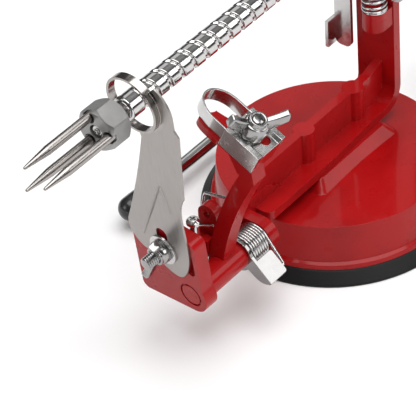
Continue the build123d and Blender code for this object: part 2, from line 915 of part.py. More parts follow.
with BuildPart() as blade_clamp:
    with BuildSketch(clamp_profile_plane):
        with BuildLine():
            Polyline(
                (clamp_right, -clamp_flange),
                (clamp_right, 0),
                (valley_right + valley_depth, 0),
                (valley_right, -valley_depth),
                (valley_left, -valley_depth),
                (valley_left - valley_depth, 0),
                (clamp_left, 0),
                (clamp_left, -clamp_flange / 2),
            )
            offset(amount=clamp_sheet, side=Side.LEFT, closed=True)
        make_face()
    extrude(amount=-clamp_length)
    with BuildSketch(head_plane):
        with Locations((bolt_across, bolt_along)):
            Circle(blade_bolt_radius)
        with Locations((clamp_hole_across, clamp_hole_along)):
            Circle(clamp_hole_radius)
    extrude(amount=-3 * valley_depth, mode=Mode.SUBTRACT)


def bolt(plane, radius, grip, reach, head_radius, head_height):
    """A bolt along a plane's normal: grip below the plane, reach above it, head at the foot."""
    with BuildPart() as piece:
        with BuildSketch(plane.offset(-grip)):
            Circle(radius)
        extrude(amount=grip + reach)
        ends = piece.edges().filter_by(GeomType.CIRCLE).sort_by(Axis(plane.origin, plane.z_dir))
        chamfer(ends[-1:], radius / 6)
        with BuildSketch(plane.offset(-grip)):
            Circle(head_radius)
        extrude(amount=-head_height)
    return piece


def washer(plane, inner_radius, outer_radius, thickness):
    """A flat washer standing on a plane."""
    with BuildPart() as piece:
        with BuildSketch(plane):
            Circle(outer_radius)
            Circle(inner_radius, mode=Mode.SUBTRACT)
        extrude(amount=thickness)
    return piece


def wing_nut(plane, bore_radius, span, height):
    """A wing nut standing on a plane, its wings along the plane's own x."""
    half = span / 2
    barrel_radius = bore_radius + nut_barrel_wall
    with BuildPart() as piece:
        with BuildSketch(plane):
            Circle(barrel_radius)
        extrude(amount=height * 0.62, taper=nut_barrel_taper)
        wing_plane = Plane(origin=plane.origin, x_dir=plane.x_dir, z_dir=-plane.y_dir)
        with BuildSketch(wing_plane):
            with BuildLine():
                Polyline((0, height * 0.12), (barrel_radius, height * 0.12))
                Spline(
                    (barrel_radius, height * 0.12),
                    (half * 0.82, height * 0.42),
                    (half, height * 0.82),
                    (half - height * 0.16, height),
                    (half * 0.72, height * 0.8),
                    (barrel_radius * 0.8, height * 0.6),
                    tangents=((1, 0.2), (-1, 0)),
                )
                Polyline(
                    (barrel_radius * 0.8, height * 0.6),
                    (0, height * 0.6),
                    (0, height * 0.12),
                )
            make_face()
            mirror(about=Plane.YZ)
        extrude(amount=nut_wing_thickness / 2, both=True)
        with BuildSketch(plane):
            Circle(bore_radius)
        extrude(amount=height, mode=Mode.SUBTRACT)
    return piece


blade_bolt_plane = Plane(
    origin=head_plane.from_local_coords((bolt_across, bolt_along, -valley_depth)),
    x_dir=head_plane.x_dir.rotate(Axis((0, 0, 0), head_plane.z_dir), blade_nut_angle),
    z_dir=head_plane.z_dir,
)
blade_washer_top = blade_bolt_plane.offset(washer_thickness)
blade_bolt = bolt(
    blade_bolt_plane,
    blade_bolt_radius,
    peeler_width + tongue_thickness + clamp_sheet - valley_depth,
    blade_bolt_reach + valley_depth,
    bolt_head_radius,
    bolt_head_height,
)
blade_washer = washer(
    blade_bolt_plane, blade_bolt_radius, blade_washer_radius, washer_thickness
)
blade_wing_nut = wing_nut(
    blade_washer_top, blade_bolt_radius + nut_fit, blade_nut_span, blade_nut_height
)

# ---- slicing and coring blade ------------------------------------------------------------

slicer_bolt_plane = Plane(
    origin=blade_plane.from_local_coords((*slicer_bolt_place, slicer_thickness)),
    x_dir=blade_plane.x_dir.rotate(Axis((0, 0, 0), blade_plane.z_dir), slicer_nut_angle),
    z_dir=blade_plane.z_dir,
)

with BuildPart() as slicer_blade:
    with BuildSketch(blade_plane) as blade_outline:
        with BuildLine():
            Spline(
                (-16.7, 15.5),
                (-22.5, 16.4),
                (-26.7, 20.4),
                (-27.7, 28.6),
                tangents=((-1, 0), (0.2, 1)),
            )
            SagittaArc((-27.7, 28.6), (-9.8, 81.4), slicer_edge_bow)
            Line((-9.8, 81.4), (ring_centre[0] - 2, ring_centre[1] - ring_inner_radius))
            Line(
                (ring_centre[0] - 2, ring_centre[1] - ring_inner_radius),
                (ring_centre[0], ring_centre[1]),
            )
            Line((ring_centre[0], ring_centre[1]), (2.5, 111.6))
            ThreePointArc((2.5, 111.6), (7.2, 107.2), (9.4, 100.2))
            Polyline((9.4, 100.2), (9.3, 94.1), (11.3, 91.2), (9.5, 76.4), (7.4, 56.8))
            Spline(
                (7.4, 56.8),
                (4.1, 33.3),
                (0.9, 13.0),
                (-2.0, 9.7),
                (-10.0, 10.5),
                (-16.7, 15.5),
            )
        make_face()
        with Locations(ring_centre):
            Circle(ring_inner_radius, mode=Mode.SUBTRACT)
        with Locations((slicer_bolt_place[0], slicer_bolt_place[1] + slicer_slot_rise / 2)):
            SlotCenterToCenter(
                slicer_slot_rise, 2 * slicer_bolt_radius, rotation=90, mode=Mode.SUBTRACT
            )
    extrude(amount=slicer_thickness)
    # coring ring
    with BuildSketch(blade_plane):
        with Locations(ring_centre):
            Circle(ring_inner_radius + ring_wall)
            Circle(ring_inner_radius, mode=Mode.SUBTRACT)
    extrude(amount=ring_depth)
    # pressed ribs that stiffen the plate
    with BuildSketch(blade_plane.offset(slicer_thickness)):
        for foot in slicer_rib_feet:
            with BuildLine():
                rib = Line(slicer_rib_top, foot)
            trace(rib, line_width=1.4)
    extrude(amount=slicer_rib_height, taper=40)

slicer_bolt = bolt(
    slicer_bolt_plane,
    slicer_bolt_radius,
    bracket_thickness + slicer_thickness,
    slicer_bolt_reach,
    bolt_head_radius + 1.5,
    bolt_head_height,
)
slicer_washer = washer(
    slicer_bolt_plane, slicer_bolt_radius, slicer_washer_radius, washer_thickness
)
slicer_wing_nut = wing_nut(
    slicer_bolt_plane.offset(washer_thickness),
    slicer_bolt_radius + nut_fit,
    slicer_nut_span,
    slicer_nut_height,
)

# ---- feed shaft, fork and bush -----------------------------------------------------------

# the groove starts at the top of the shaft and is underneath where the release tooth sits
tooth_middle = release_plane + sheet_thickness / 2
groove_start = tooth_middle - (groove_turns_behind + 0.5) * groove_lead
hub_bore_end = fork_start + 0.6 * hub_length
crank_front = shaft_rear - 2.0
crank_back = crank_front - crank_thickness

with BuildPart() as screw_shaft:
    with BuildSketch(facing_forward(shaft_rear, 0, shaft_height)):
        Circle(shaft_radius)
    extrude(amount=shaft_front - shaft_rear)
    with BuildLine() as groove_line:
        Helix(
            pitch=groove_lead,
            height=groove_lead * (groove_turns_behind + groove_turns_ahead),
            radius=shaft_radius,
            center=(groove_start, 0, shaft_height),
            direction=(1, 0, 0),
        )
    groove_path = groove_line.wires()[0]
    with BuildSketch(Plane(origin=groove_path @ 0, x_dir=(0, 0, 1), z_dir=groove_path % 0)):
        Rectangle(2 * groove_depth, groove_width)
    sweep(path=groove_path, is_frenet=True, mode=Mode.SUBTRACT)
    with BuildSketch(facing_forward(shaft_front - 1, 0, shaft_height)):
        Circle(shaft_neck_radius)
    extrude(amount=hub_bore_end - shaft_front + 1)
    with BuildSketch(facing_forward(shaft_rear + 1, 0, shaft_height)):
        Circle(shaft_neck_radius)
    extrude(amount=crank_back - crank_nut_height - 1 - shaft_rear - 1)
    with BuildSketch(facing_forward(hub_bore_end, 0, shaft_height)):
        Circle(fork_screw_radius)
    extrude(amount=-fork_screw_length, mode=Mode.SUBTRACT)

with BuildPart() as shaft_bush:
    with BuildSketch(facing_forward(head_boss_front, 0, shaft_height)):
        Circle(bush_radius)
    extrude(amount=-head_boss_length)
    with BuildSketch(
        facing_forward(head_boss_front - head_boss_length - bush_end_play, 0, shaft_height)
    ):
        Circle(bush_collar_radius)
    extrude(amount=-bush_collar_length)
    with BuildSketch(
        facing_forward(head_boss_front - head_boss_length, 0, shaft_height)
    ):
        Circle(bush_radius)
    extrude(amount=-bush_end_play)
    with BuildSketch(facing_forward(head_boss_front, 0, shaft_height)):
        Circle(shaft_radius + bush_fit)
    extrude(amount=-head_boss_length - bush_collar_length - 1, mode=Mode.SUBTRACT)

with BuildPart() as fork_hub:
    with BuildSketch(facing_forward(fork_start, 0, shaft_height)):
        Circle(hub_radius)
    extrude(amount=hub_length)
    chamfer(fork_hub.edges().filter_by(GeomType.CIRCLE), hub_edge_bevel)
    with BuildSketch(facing_forward(fork_start, 0, shaft_height)):
        RegularPolygon(hub_flat, 6, major_radius=False, rotation=prong_first_angle - 30)
    extrude(amount=hub_length, mode=Mode.INTERSECT)
    with BuildSketch(facing_forward(fork_start, 0, shaft_height)):
        Circle(shaft_neck_radius)
    extrude(amount=hub_bore_end - fork_start, mode=Mode.SUBTRACT)
    with BuildSketch(facing_forward(hub_bore_end, 0, shaft_height)):
        Circle(fork_screw_radius)
    extrude(amount=hub_length, mode=Mode.SUBTRACT)
    with BuildSketch(facing_forward(fork_start + hub_length, 0, shaft_height)):
        Circle(fork_screw_head_radius + 0.2)
    extrude(amount=-fork_screw_sink, mode=Mode.SUBTRACT)
    with BuildSketch(facing_forward(fork_start + hub_length, 0, shaft_height)):
        with PolarLocations(prong_circle_radius, prong_count, prong_first_angle):
            Circle(prong_radius)
    extrude(amount=-prong_seat, mode=Mode.SUBTRACT)
    with BuildSketch(facing_forward(fork_start + hub_length, 0, shaft_height)):
        with PolarLocations(prong_circle_radius, prong_count, prong_first_angle):
            Circle(prong_notch_radius)
    extrude(amount=-prong_notch_depth, mode=Mode.SUBTRACT)

prong_point_start = fork_start + hub_length + prong_length - prong_point_length
fork_screw_seat = fork_start + hub_length - fork_screw_sink
with BuildPart() as fork_prongs:
    with BuildSketch(facing_forward(fork_start + hub_length - prong_seat, 0, shaft_height)):
        with PolarLocations(prong_circle_radius, prong_count, prong_first_angle):
            Circle(prong_radius)
    extrude(amount=prong_seat + prong_length - prong_point_length)
    with BuildSketch(facing_forward(prong_point_start, 0, shaft_height)):
        with PolarLocations(prong_circle_radius, prong_count, prong_first_angle):
            Circle(prong_radius)
    extrude(amount=prong_point_length, taper=prong_taper)

with BuildPart() as fork_screw:
    with BuildSketch(facing_forward(hub_bore_end - fork_screw_length + 1, 0, shaft_height)):
        Circle(fork_screw_radius)
    extrude(amount=fork_screw_seat - hub_bore_end + fork_screw_length)
    with BuildSketch(facing_forward(fork_screw_seat, 0, shaft_height)):
        Circle(fork_screw_head_radius)
    extrude(amount=fork_screw_head_height)
    chamfer(fork_screw.edges().group_by(Axis.X)[-1], fork_screw_head_height / 2.5)
    with BuildSketch(facing_forward(fork_screw_seat + fork_screw_head_height, 0, shaft_height)):
        Rectangle(fork_screw_head_radius, 0.6)
        Rectangle(0.6, fork_screw_head_radius)
    extrude(amount=-fork_screw_head_height / 2, mode=Mode.SUBTRACT)

# ---- crank -------------------------------------------------------------------------------

crank_end_height = shaft_height - crank_length

with BuildPart() as crank_arm:
    with BuildSketch(facing_forward(crank_back)):
        with BuildLine():
            Polyline(
                (-crank_hub_radius * 0.8, shaft_height),
                (crank_hub_radius * 0.8, shaft_height),
                (crank_tip_radius * 0.8, crank_end_height),
                (-crank_tip_radius * 0.8, crank_end_height),
                close=True,
            )
        make_face()
        with Locations((0, shaft_height)):
            Circle(crank_hub_radius)
        with Locations((0, crank_end_height)):
            Circle(crank_tip_radius)
        with Locations((0, shaft_height)):
            Circle(shaft_neck_radius, mode=Mode.SUBTRACT)
        with Locations((0, crank_end_height)):
            Circle(spindle_radius, mode=Mode.SUBTRACT)
    extrude(amount=crank_thickness)

with BuildPart() as crank_nut:
    with BuildSketch(facing_forward(crank_back, 0, shaft_height)):
        RegularPolygon(crank_nut_width / 2, 6, major_radius=False)
    extrude(amount=-crank_nut_height)
    with BuildSketch(facing_forward(crank_back, 0, shaft_height)):
        Circle(shaft_neck_radius)
    extrude(amount=-crank_nut_height, mode=Mode.SUBTRACT)

knob_start = crank_back - 0.4
with BuildPart() as knob_spindle:
    with BuildSketch(facing_forward(crank_front, 0, crank_end_height)):
        Circle(spindle_radius)
    extrude(amount=knob_start - knob_length - 0.4 - crank_front)
    with BuildSketch(facing_forward(knob_start - knob_length - 0.4, 0, crank_end_height)):
        Circle(spindle_head_radius)
    extrude(amount=-2)
    chamfer(knob_spindle.edges().group_by(Axis.X)[0], 0.8)
    with BuildSketch(facing_forward(crank_front, 0, crank_end_height)):
        Circle(spindle_radius + 1.4)
    extrude(amount=1.2)

with BuildPart() as crank_knob:
    with BuildSketch(Plane.XZ):
        with BuildLine():
            ThreePointArc(
                (knob_start, crank_end_height + knob_end_radius),
                (knob_start - knob_length * 0.5, crank_end_height + knob_radius),
                (knob_start - knob_length * 0.88, crank_end_height + knob_radius * 0.88),
            )
            ThreePointArc(
                (knob_start - knob_length * 0.88, crank_end_height + knob_radius * 0.88),
                (knob_start - knob_length * 0.96, crank_end_height + knob_radius * 0.74),
                (knob_start - knob_length, crank_end_height + knob_radius * 0.5),
            )
            Polyline(
                (knob_start - knob_length, crank_end_height + knob_radius * 0.5),
                (knob_start - knob_length, crank_end_height + spindle_radius + running_fit),
                (knob_start, crank_end_height + spindle_radius + running_fit),
                (knob_start, crank_end_height + knob_end_radius),
            )
        make_face()
    revolve(axis=Axis((0, 0, crank_end_height), (1, 0, 0)))

# ---- release lever -----------------------------------------------------------------------

tooth_top = shaft_height - shaft_radius + groove_depth - tooth_root_gap
release_spring_top = release_spring_foot + release_spring_length

with BuildPart() as release_lever:
    with BuildSketch(facing_forward(release_plane)):
        with BuildLine():
            FilletPolyline(
                (release_pivot_side, release_pivot_height + release_eye_radius),
                (4, release_shoulder_height),
                (release_tail_side + 5, release_shoulder_height - 4),
                (release_tail_side, release_shoulder_height - 12),
                (release_tail_side, release_tail_bottom),
                (release_tail_side + release_tail_width, release_tail_bottom),
                (release_tail_side + release_tail_width, release_spring_top),
                (release_pivot_side, release_spring_top - 1.5),
                radius=3,
            )
            Line(
                (release_pivot_side, release_spring_top - 1.5),
                (release_pivot_side, release_pivot_height + release_eye_radius),
            )
        make_face()
        with Locations((release_pivot_side, release_pivot_height)):
            Circle(release_eye_radius)
            Circle(release_pin_radius + running_fit, mode=Mode.SUBTRACT)
        with Locations((release_spring_side, release_spring_top + 1)):
            Rectangle(release_spring_radius, spring_tang, align=(Align.CENTER, Align.MAX))
    extrude(amount=sheet_thickness)
    tooth_plane_reach = release_plane + (sheet_thickness - tooth_thickness) / 2
    with BuildSketch(facing_forward(tooth_plane_reach)):
        with Locations((0, tooth_top)):
            Rectangle(
                tooth_width,
                tooth_top - release_shoulder_height + 3,
                align=(Align.CENTER, Align.MAX),
            )
    extrude(amount=tooth_thickness)
    with BuildSketch(facing_forward(release_plane)):
        with Locations((release_tail_side, release_tail_bottom)):
            Rectangle(sheet_thickness, release_tab_height, align=(Align.MAX, Align.MIN))
    extrude(amount=release_tab_depth)

with BuildPart() as release_pin:
    with BuildSketch(facing_forward(ear_back, release_pivot_side, release_pivot_height)):
        Circle(release_pin_radius)
    extrude(amount=release_plane + sheet_thickness + 0.3 - ear_back)
    with BuildSketch(
        facing_forward(
            release_plane + sheet_thickness + 0.3, release_pivot_side, release_pivot_height
        )
    ):
        Circle(release_pin_radius + 1.4)
    extrude(amount=1.4)
    chamfer(release_pin.edges().group_by(Axis.X)[-1], 0.5)

with BuildPart() as release_spring:
    spring_pitch = (release_spring_length - 2 * spring_wire_radius - 0.2) / release_spring_turns
    with BuildLine() as release_coil:
        Helix(
            pitch=spring_pitch,
            height=spring_pitch * release_spring_turns,
            radius=release_spring_radius,
            center=(
                release_spring_reach,
                release_spring_side,
                release_spring_foot + spring_wire_radius + 0.1,
            ),
        )
    with BuildSketch(wire_section(release_coil.wires()[0])):
        RegularPolygon(spring_wire_radius, wire_facets, major_radius=True)
    sweep(path=release_coil.wires()[0], is_frenet=True)

with BuildPart() as stop_screw:
    with BuildSketch(stop_screw_plane.offset(-stop_screw_grip)):
        Circle(stop_screw_radius)
    extrude(amount=stop_screw_grip + stop_screw_stand)
    with BuildSketch(stop_screw_plane.offset(stop_screw_stand)):
        Circle(stop_screw_head_radius)
    extrude(amount=stop_screw_head_height)
    chamfer(stop_screw.edges().group_by(Axis.Z)[-1], stop_screw_head_height / 2.5)
    with BuildSketch(stop_screw_plane.offset(stop_screw_stand + stop_screw_head_height)):
        Rectangle(stop_screw_head_radius, 0.8)
        Rectangle(0.8, stop_screw_head_radius)
    extrude(amount=-stop_screw_head_height / 2, mode=Mode.SUBTRACT)

# ---- one file for each piece -------------------------------------------------------------

pieces = {
    "suction_pad": suction_pad,
    "base_dome": base_dome,
    "pad_plate": pad_plate,
    "pad_stud": pad_stud,
    "suction_lever": suction_lever,
    "suction_knob": suction_knob,
    "frame_casting": frame_casting,
    "frame_screws": frame_screws,
    "pivot_pin": pivot_pin,
    "stop_screw": stop_screw,
    "peel_arm": peel_arm,
    "arm_thumb_lever": arm_thumb_lever,
    "arm_spring": arm_spring,
    "peeling_blade": peeling_blade,
    "blade_clamp": blade_clamp,
    "blade_bolt": blade_bolt,
    "blade_washer": blade_washer,
    "blade_wing_nut": blade_wing_nut,
    "slicer_blade": slicer_blade,
    "slicer_bolt": slicer_bolt,
    "slicer_washer": slicer_washer,
    "slicer_wing_nut": slicer_wing_nut,
    "screw_shaft": screw_shaft,
    "shaft_bush": shaft_bush,
    "fork_hub": fork_hub,
    "fork_prongs": fork_prongs,
    "fork_screw": fork_screw,
    "crank_arm": crank_arm,
    "crank_nut": crank_nut,
    "knob_spindle": knob_spindle,
    "crank_knob": crank_knob,
    "release_lever": release_lever,
    "release_pin": release_pin,
    "release_spring": release_spring,
}
for name, piece in pieces.items():
    piece.part.label = name
    export_step(piece.part, f"parts/{name}.step")
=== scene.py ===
"""Apple peeler, corer and slicer on a suction base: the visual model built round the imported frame.

Metres throughout. +X points forwards along the feed shaft, +Y to the peeling arm, +Z up.
"""
import json
import math
from collections import namedtuple

import bmesh
import bpy
import numpy as np
from bpy.props import FloatProperty, FloatVectorProperty, IntProperty, PointerProperty
from mathutils import Matrix, Vector


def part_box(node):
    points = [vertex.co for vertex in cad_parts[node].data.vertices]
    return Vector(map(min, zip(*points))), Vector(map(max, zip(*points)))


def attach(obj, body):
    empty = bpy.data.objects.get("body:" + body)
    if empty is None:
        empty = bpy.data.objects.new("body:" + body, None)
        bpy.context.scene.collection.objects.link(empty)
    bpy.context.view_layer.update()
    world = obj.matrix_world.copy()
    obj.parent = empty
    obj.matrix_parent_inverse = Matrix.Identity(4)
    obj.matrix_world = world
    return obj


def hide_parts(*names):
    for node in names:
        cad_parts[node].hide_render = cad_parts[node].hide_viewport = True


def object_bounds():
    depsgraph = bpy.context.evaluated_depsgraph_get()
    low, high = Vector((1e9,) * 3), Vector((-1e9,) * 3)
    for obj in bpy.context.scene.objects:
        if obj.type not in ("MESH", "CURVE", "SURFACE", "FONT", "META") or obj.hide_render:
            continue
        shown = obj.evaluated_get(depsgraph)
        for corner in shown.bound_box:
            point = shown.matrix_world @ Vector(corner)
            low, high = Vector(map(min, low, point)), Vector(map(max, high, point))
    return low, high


bl_info = {
    "name": "Apple Peeler",
    "version": (1, 0, 0),
    "blender": (4, 5, 0),
    "location": "View3D > Sidebar > Peeler",
    "description": "Builds the surfaces and finishes of a hand-cranked apple peeler",
    "category": "Object",
}

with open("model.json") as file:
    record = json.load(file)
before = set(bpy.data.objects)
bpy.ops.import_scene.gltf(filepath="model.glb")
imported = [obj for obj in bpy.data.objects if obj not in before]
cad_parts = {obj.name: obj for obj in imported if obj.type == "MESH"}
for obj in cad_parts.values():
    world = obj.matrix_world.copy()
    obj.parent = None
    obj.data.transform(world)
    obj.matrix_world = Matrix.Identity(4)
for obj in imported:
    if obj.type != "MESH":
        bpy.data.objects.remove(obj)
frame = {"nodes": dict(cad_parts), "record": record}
CAD_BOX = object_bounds()
NODES = frame["nodes"]
JOINTS = {joint["name"]: joint for joint in frame["record"]["behaviour"]["joints"]}

MM = 0.001


# ---- places read from the frame -----------------------------------------------------------


def corners_of(node):
    """The lowest and the highest corner of a node's box."""
    return tuple(np.array(corner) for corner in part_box(node))


def node_points(node):
    """The points of a CAD node's mesh."""
    mesh = NODES[node].data
    points = np.empty(len(mesh.vertices) * 3)
    mesh.vertices.foreach_get("co", points)
    return points.reshape(-1, 3)


def body_of_node(node):
    """The name of the body that a CAD node belongs to."""
    for name, members in frame["record"]["behaviour"]["bodies"].items():
        if node in members:
            return name
    raise KeyError(node)


def slot_of_node(node):
    """The material slot that the record gives a node."""
    for part in frame["record"]["subparts"]:
        if part["node"] == node:
            return part["material_slot"]
    raise KeyError(node)


def joint_place(joint):
    """The point that a joint turns about."""
    return np.array(JOINTS[joint]["pos_m"])


# ---- axes ---------------------------------------------------------------------------------


def unit(vectors):
    """Vectors scaled to length one."""
    return vectors / np.linalg.norm(vectors, axis=-1, keepdims=True)


def axis_frame(origin, along, across):
    """Three axes and an origin as a function that carries local points to the row frame.

    The third axis is `along`, the first is `across` made square to it.
    """
    third = unit(np.array(along, float))
    first = np.array(across, float)
    first = unit(first - third * (first @ third))
    second = np.cross(third, first)
    axes = np.stack([first, second, third])
    return lambda points: np.asarray(points) @ axes + np.asarray(origin)


def facing_forwards(origin):
    """A frame at a point whose third axis is X and whose first axis is Y."""
    return axis_frame(origin, (1, 0, 0), (0, 1, 0))


def off_axis(points, origin, along):
    """How far points stand square to an axis, as vectors, and how far along it, as lengths."""
    away = points - origin
    depth = away @ along
    return away - depth[:, None] * along, depth


def widest_line(node, along):
    """The direction across an axis in which a node's points spread most."""
    points = node_points(node)
    across, _ = off_axis(points, points.mean(axis=0), along)
    _, directions = np.linalg.eigh(across.T @ across)
    return directions[:, -1]


# ---- meshes from arrays -------------------------------------------------------------------


def grid_quads(rows, columns):
    """Quads between neighbouring rows of a grid whose last column joins its first."""
    here = np.arange(columns)
    following = (here + 1) % columns
    row = np.arange(rows - 1)[:, None] * columns
    return np.stack(
        [row + here, row + following, row + columns + following, row + columns + here], axis=-1
    ).reshape(-1, 4)


def cap_triangles(ring_start, columns, centre):
    """A fan of triangles from a centre vertex to a ring."""
    here = np.arange(columns)
    following = (here + 1) % columns
    return np.stack([np.full(columns, centre), ring_start + following, ring_start + here], axis=-1)


def open_tube(points):
    """Vertices and faces of a grid of rings, (rows, columns, 3), without ends."""
    rows, columns = points.shape[:2]
    return points.reshape(-1, 3), [grid_quads(rows, columns)]


def closed_tube(points):
    """Vertices and faces of a grid of rings, closed by a fan at each end."""
    rows, columns = points.shape[:2]
    vertices, quads = open_tube(points)
    middles = points.mean(axis=1)[[0, -1]]
    first_fan = cap_triangles(0, columns, rows * columns)
    last_fan = cap_triangles((rows - 1) * columns, columns, rows * columns + 1)
    return np.concatenate([vertices, middles]), quads + [first_fan, last_fan]


def new_object(name, data):
    """A new object in the scene that holds the data."""
    item = bpy.data.objects.new(name, data)
    bpy.context.scene.collection.objects.link(item)
    return item


def make_mesh(name, parts, crease=35):
    """One object from several (vertices, faces) parts, facing outwards, smooth up to an angle."""
    counts = np.cumsum([0] + [len(vertices) for vertices, _ in parts])
    vertices = np.concatenate([vertices for vertices, _ in parts])
    faces = []
    for (_, groups), start in zip(parts, counts):
        for group in groups:
            faces += (group + int(start)).tolist()
    mesh = bpy.data.meshes.new(name)
    mesh.from_pydata(vertices.tolist(), [], faces)
    tidy_mesh(mesh, crease)
    return new_object(name, mesh)


def tidy_mesh(mesh, crease):
    """Joins doubled points, turns every face outwards and smooths edges up to the crease angle."""
    work = bmesh.new()
    work.from_mesh(mesh)
    bmesh.ops.remove_doubles(work, verts=work.verts, dist=1e-7)
    bmesh.ops.recalc_face_normals(work, faces=work.faces)
    work.to_mesh(mesh)
    work.free()
    mesh.polygons.foreach_set("use_smooth", np.ones(len(mesh.polygons), bool))
    mesh.set_sharp_from_angle(angle=math.radians(crease))


def dress(piece, node, finish):
    """Gives a piece its finish and the body of the CAD node that it stands for, and hides the node.
    """
    piece.data.materials.clear()
    piece.data.materials.append(FINISHES[finish])
    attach(piece, body_of_node(node))
    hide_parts(node)


# ---- surface formulas ---------------------------------------------------------------------


def angles_round(sides):
    """Even angles once round, starting at zero."""
    return np.linspace(0, 2 * np.pi, sides, endpoint=False)


def on_cylinder(radius, angle, height):
    """Points (radius cos angle, radius sin angle, height), as one array over all three."""
    first, second = radius * np.cos(angle), radius * np.sin(angle)
    return np.stack([first, second, np.broadcast_to(height, first.shape)], axis=-1)


def turned(profile, sides, place):
    """A lathe surface: each (radius, height) of the profile swept once round the third axis."""
    radius, height = np.asarray(profile, float).T[:, :, None]
    return place(on_cylinder(radius, angles_round(sides), height))


def bend_corners(corners, reach, share, steps):
    """A line through corners whose inner corners are parabolic arcs.

    An arc starts and ends at `reach` from its corner, or at `share` of the run where that is
    less: (1 - t)^2 enter + 2 t (1 - t) corner + t^2 leave.
    """
    corners = np.asarray(corners, float)
    before, corner, after = corners[:-2], corners[1:-1], corners[2:]
    reach_in = np.minimum(reach, np.linalg.norm(corner - before, axis=1) * share)[:, None]
    reach_out = np.minimum(reach, np.linalg.norm(after - corner, axis=1) * share)[:, None]
    enter = (corner + unit(before - corner) * reach_in)[:, None]
    leave = (corner + unit(after - corner) * reach_out)[:, None]
    t = np.linspace(0, 1, steps)[None, :, None]
    arcs = (1 - t) ** 2 * enter + 2 * t * (1 - t) * corner[:, None] + t**2 * leave
    return np.concatenate([corners[:1], arcs.reshape(-1, corners.shape[1]), corners[-1:]])


def rounded_profile(corners, reach, steps=4):
    """An outline for the lathe with its inner corners rounded."""
    return bend_corners(corners, reach, 0.45, steps)


def smooth_route(corners, bend):
    """A wire's route through corners, with rounded bends, at even steps."""
    return even_steps(bend_corners(corners, bend, 0.5, 10), 0.3 * MM)


def even_steps(points, step):
    """Points resampled at even distances along their own line."""
    gaps = np.linalg.norm(np.diff(points, axis=0), axis=1)
    keep = np.concatenate([[True], gaps > 1e-8])
    points = points[keep]
    distance = np.concatenate([[0], np.cumsum(np.linalg.norm(np.diff(points, axis=0), axis=1))])
    stations = np.linspace(0, distance[-1], max(int(distance[-1] / step), 2))
    return np.stack([np.interp(stations, distance, points[:, k]) for k in range(3)], axis=-1)


def carried_tube(path, radius, sides):
    """A round wire along any path: its circle's first axis is carried from point to point by the
    smallest turn that keeps it square to the path."""
    tangent = unit(np.gradient(path, axis=0))
    first = np.empty_like(path)
    axis = np.cross(tangent[0], [0.3, 0.5, 0.8])
    for row, direction in enumerate(tangent):
        axis = axis - direction * (axis @ direction)
        axis = axis / np.linalg.norm(axis)
        first[row] = axis
    second = np.cross(tangent, first)
    around = angles_round(sides)[:, None]
    offset = np.cos(around) * first[:, None] + np.sin(around) * second[:, None]
    return path[:, None] + radius * offset


def rounded_end(distance, reach, end_share):
    """A size's share near an end: a quarter circle from end_share at the end to one at reach."""
    inwards = np.clip(distance / reach, 0, 1)
    return end_share + (1 - end_share) * np.sqrt(1 - (1 - inwards) ** 2)


def threaded_rod(radius, low, high, pitch, place):
    """A screw: radius minus depth times a wave of height/pitch minus angle/turn.

    The wave is a triangle whose top and bottom are cut flat, and its depth is a share of the
    pitch. The upper end is rounded.
    """
    depth = 0.42 * pitch
    rows_per_turn, sides = 8, 40
    rows = max(int((high - low) / pitch * rows_per_turn), rows_per_turn)
    height = np.linspace(low, high, rows)[:, None]
    angle = angles_round(sides)
    turn = height / pitch - angle / (2 * np.pi)
    triangle = np.abs((turn % 1) * 2 - 1)
    wave = np.clip(triangle * 1.5 - 0.25, 0, 1)
    local = (radius - depth * (1 - wave)) * rounded_end(high - height, 0.5 * MM, 0.78)
    return place(on_cylinder(local, angle, height))


# ---- sizes and colours that a user may change ---------------------------------------------


def length(name, description, default_mm):
    """A length property whose default is given in millimetres."""
    return FloatProperty(
        name=name,
        description=description,
        default=default_mm * MM,
        subtype="DISTANCE",
        unit="LENGTH",
    )


def turning(name, description, default_degrees):
    """An angle property whose default is given in degrees."""
    return FloatProperty(
        name=name,
        description=description,
        default=math.radians(default_degrees),
        subtype="ANGLE",
        unit="ROTATION",
    )


class PeelerSizes(bpy.types.PropertyGroup):
    """Sizes of the surfaces that the visual model adds."""

    groove_depth: length("Groove depth", "Depth of the feed shaft's spiral groove", 1.15)
    groove_floor: length("Groove floor", "Width of the flat floor of the groove", 1.5)
    groove_mouth: length("Groove mouth", "Width of the groove at the shaft's surface", 2.6)
    wire_sides: IntProperty(
        name="Wire sides", description="Facets round a spring's wire", default=14, min=6, max=32
    )
    wire_radius: length("Wire radius", "Radius of the springs' wire", 0.6)
    coil_gap: length("Coil gap", "Gap between neighbouring turns of the arm's spring", 0.15)
    rear_leg: length("Rear leg", "Length of the spring's leg under the thumb lever", 14.0)
    sheet: length("Lever sheet", "Thickness of the thumb lever's sheet", 1.6)
    wing_thickness: length("Wing thickness", "Thickness of a wing nut's wings", 2.6)
    nut_bore_blade: length("Blade nut bore", "Radius of the peeling blade's nut bore", 2.47)
    nut_bore_slicer: length("Slicer nut bore", "Radius of the slicer's nut bore", 2.87)
    prong_radius: length("Prong radius", "Radius of the fork's prongs", 1.9)
    prong_angle: turning("Prong angle", "Angle of the first prong about the shaft", 118.0)
    cast_edge: length("Cast edge", "Radius of the rounded edges of the castings", 0.55)
    sheet_edge: length("Sheet edge", "Radius of the eased edges of the sheet metal", 0.18)


def colour(name, description, default):
    """A colour property."""
    return FloatVectorProperty(
        name=name, description=description, subtype="COLOR", size=3, min=0, max=1, default=default
    )


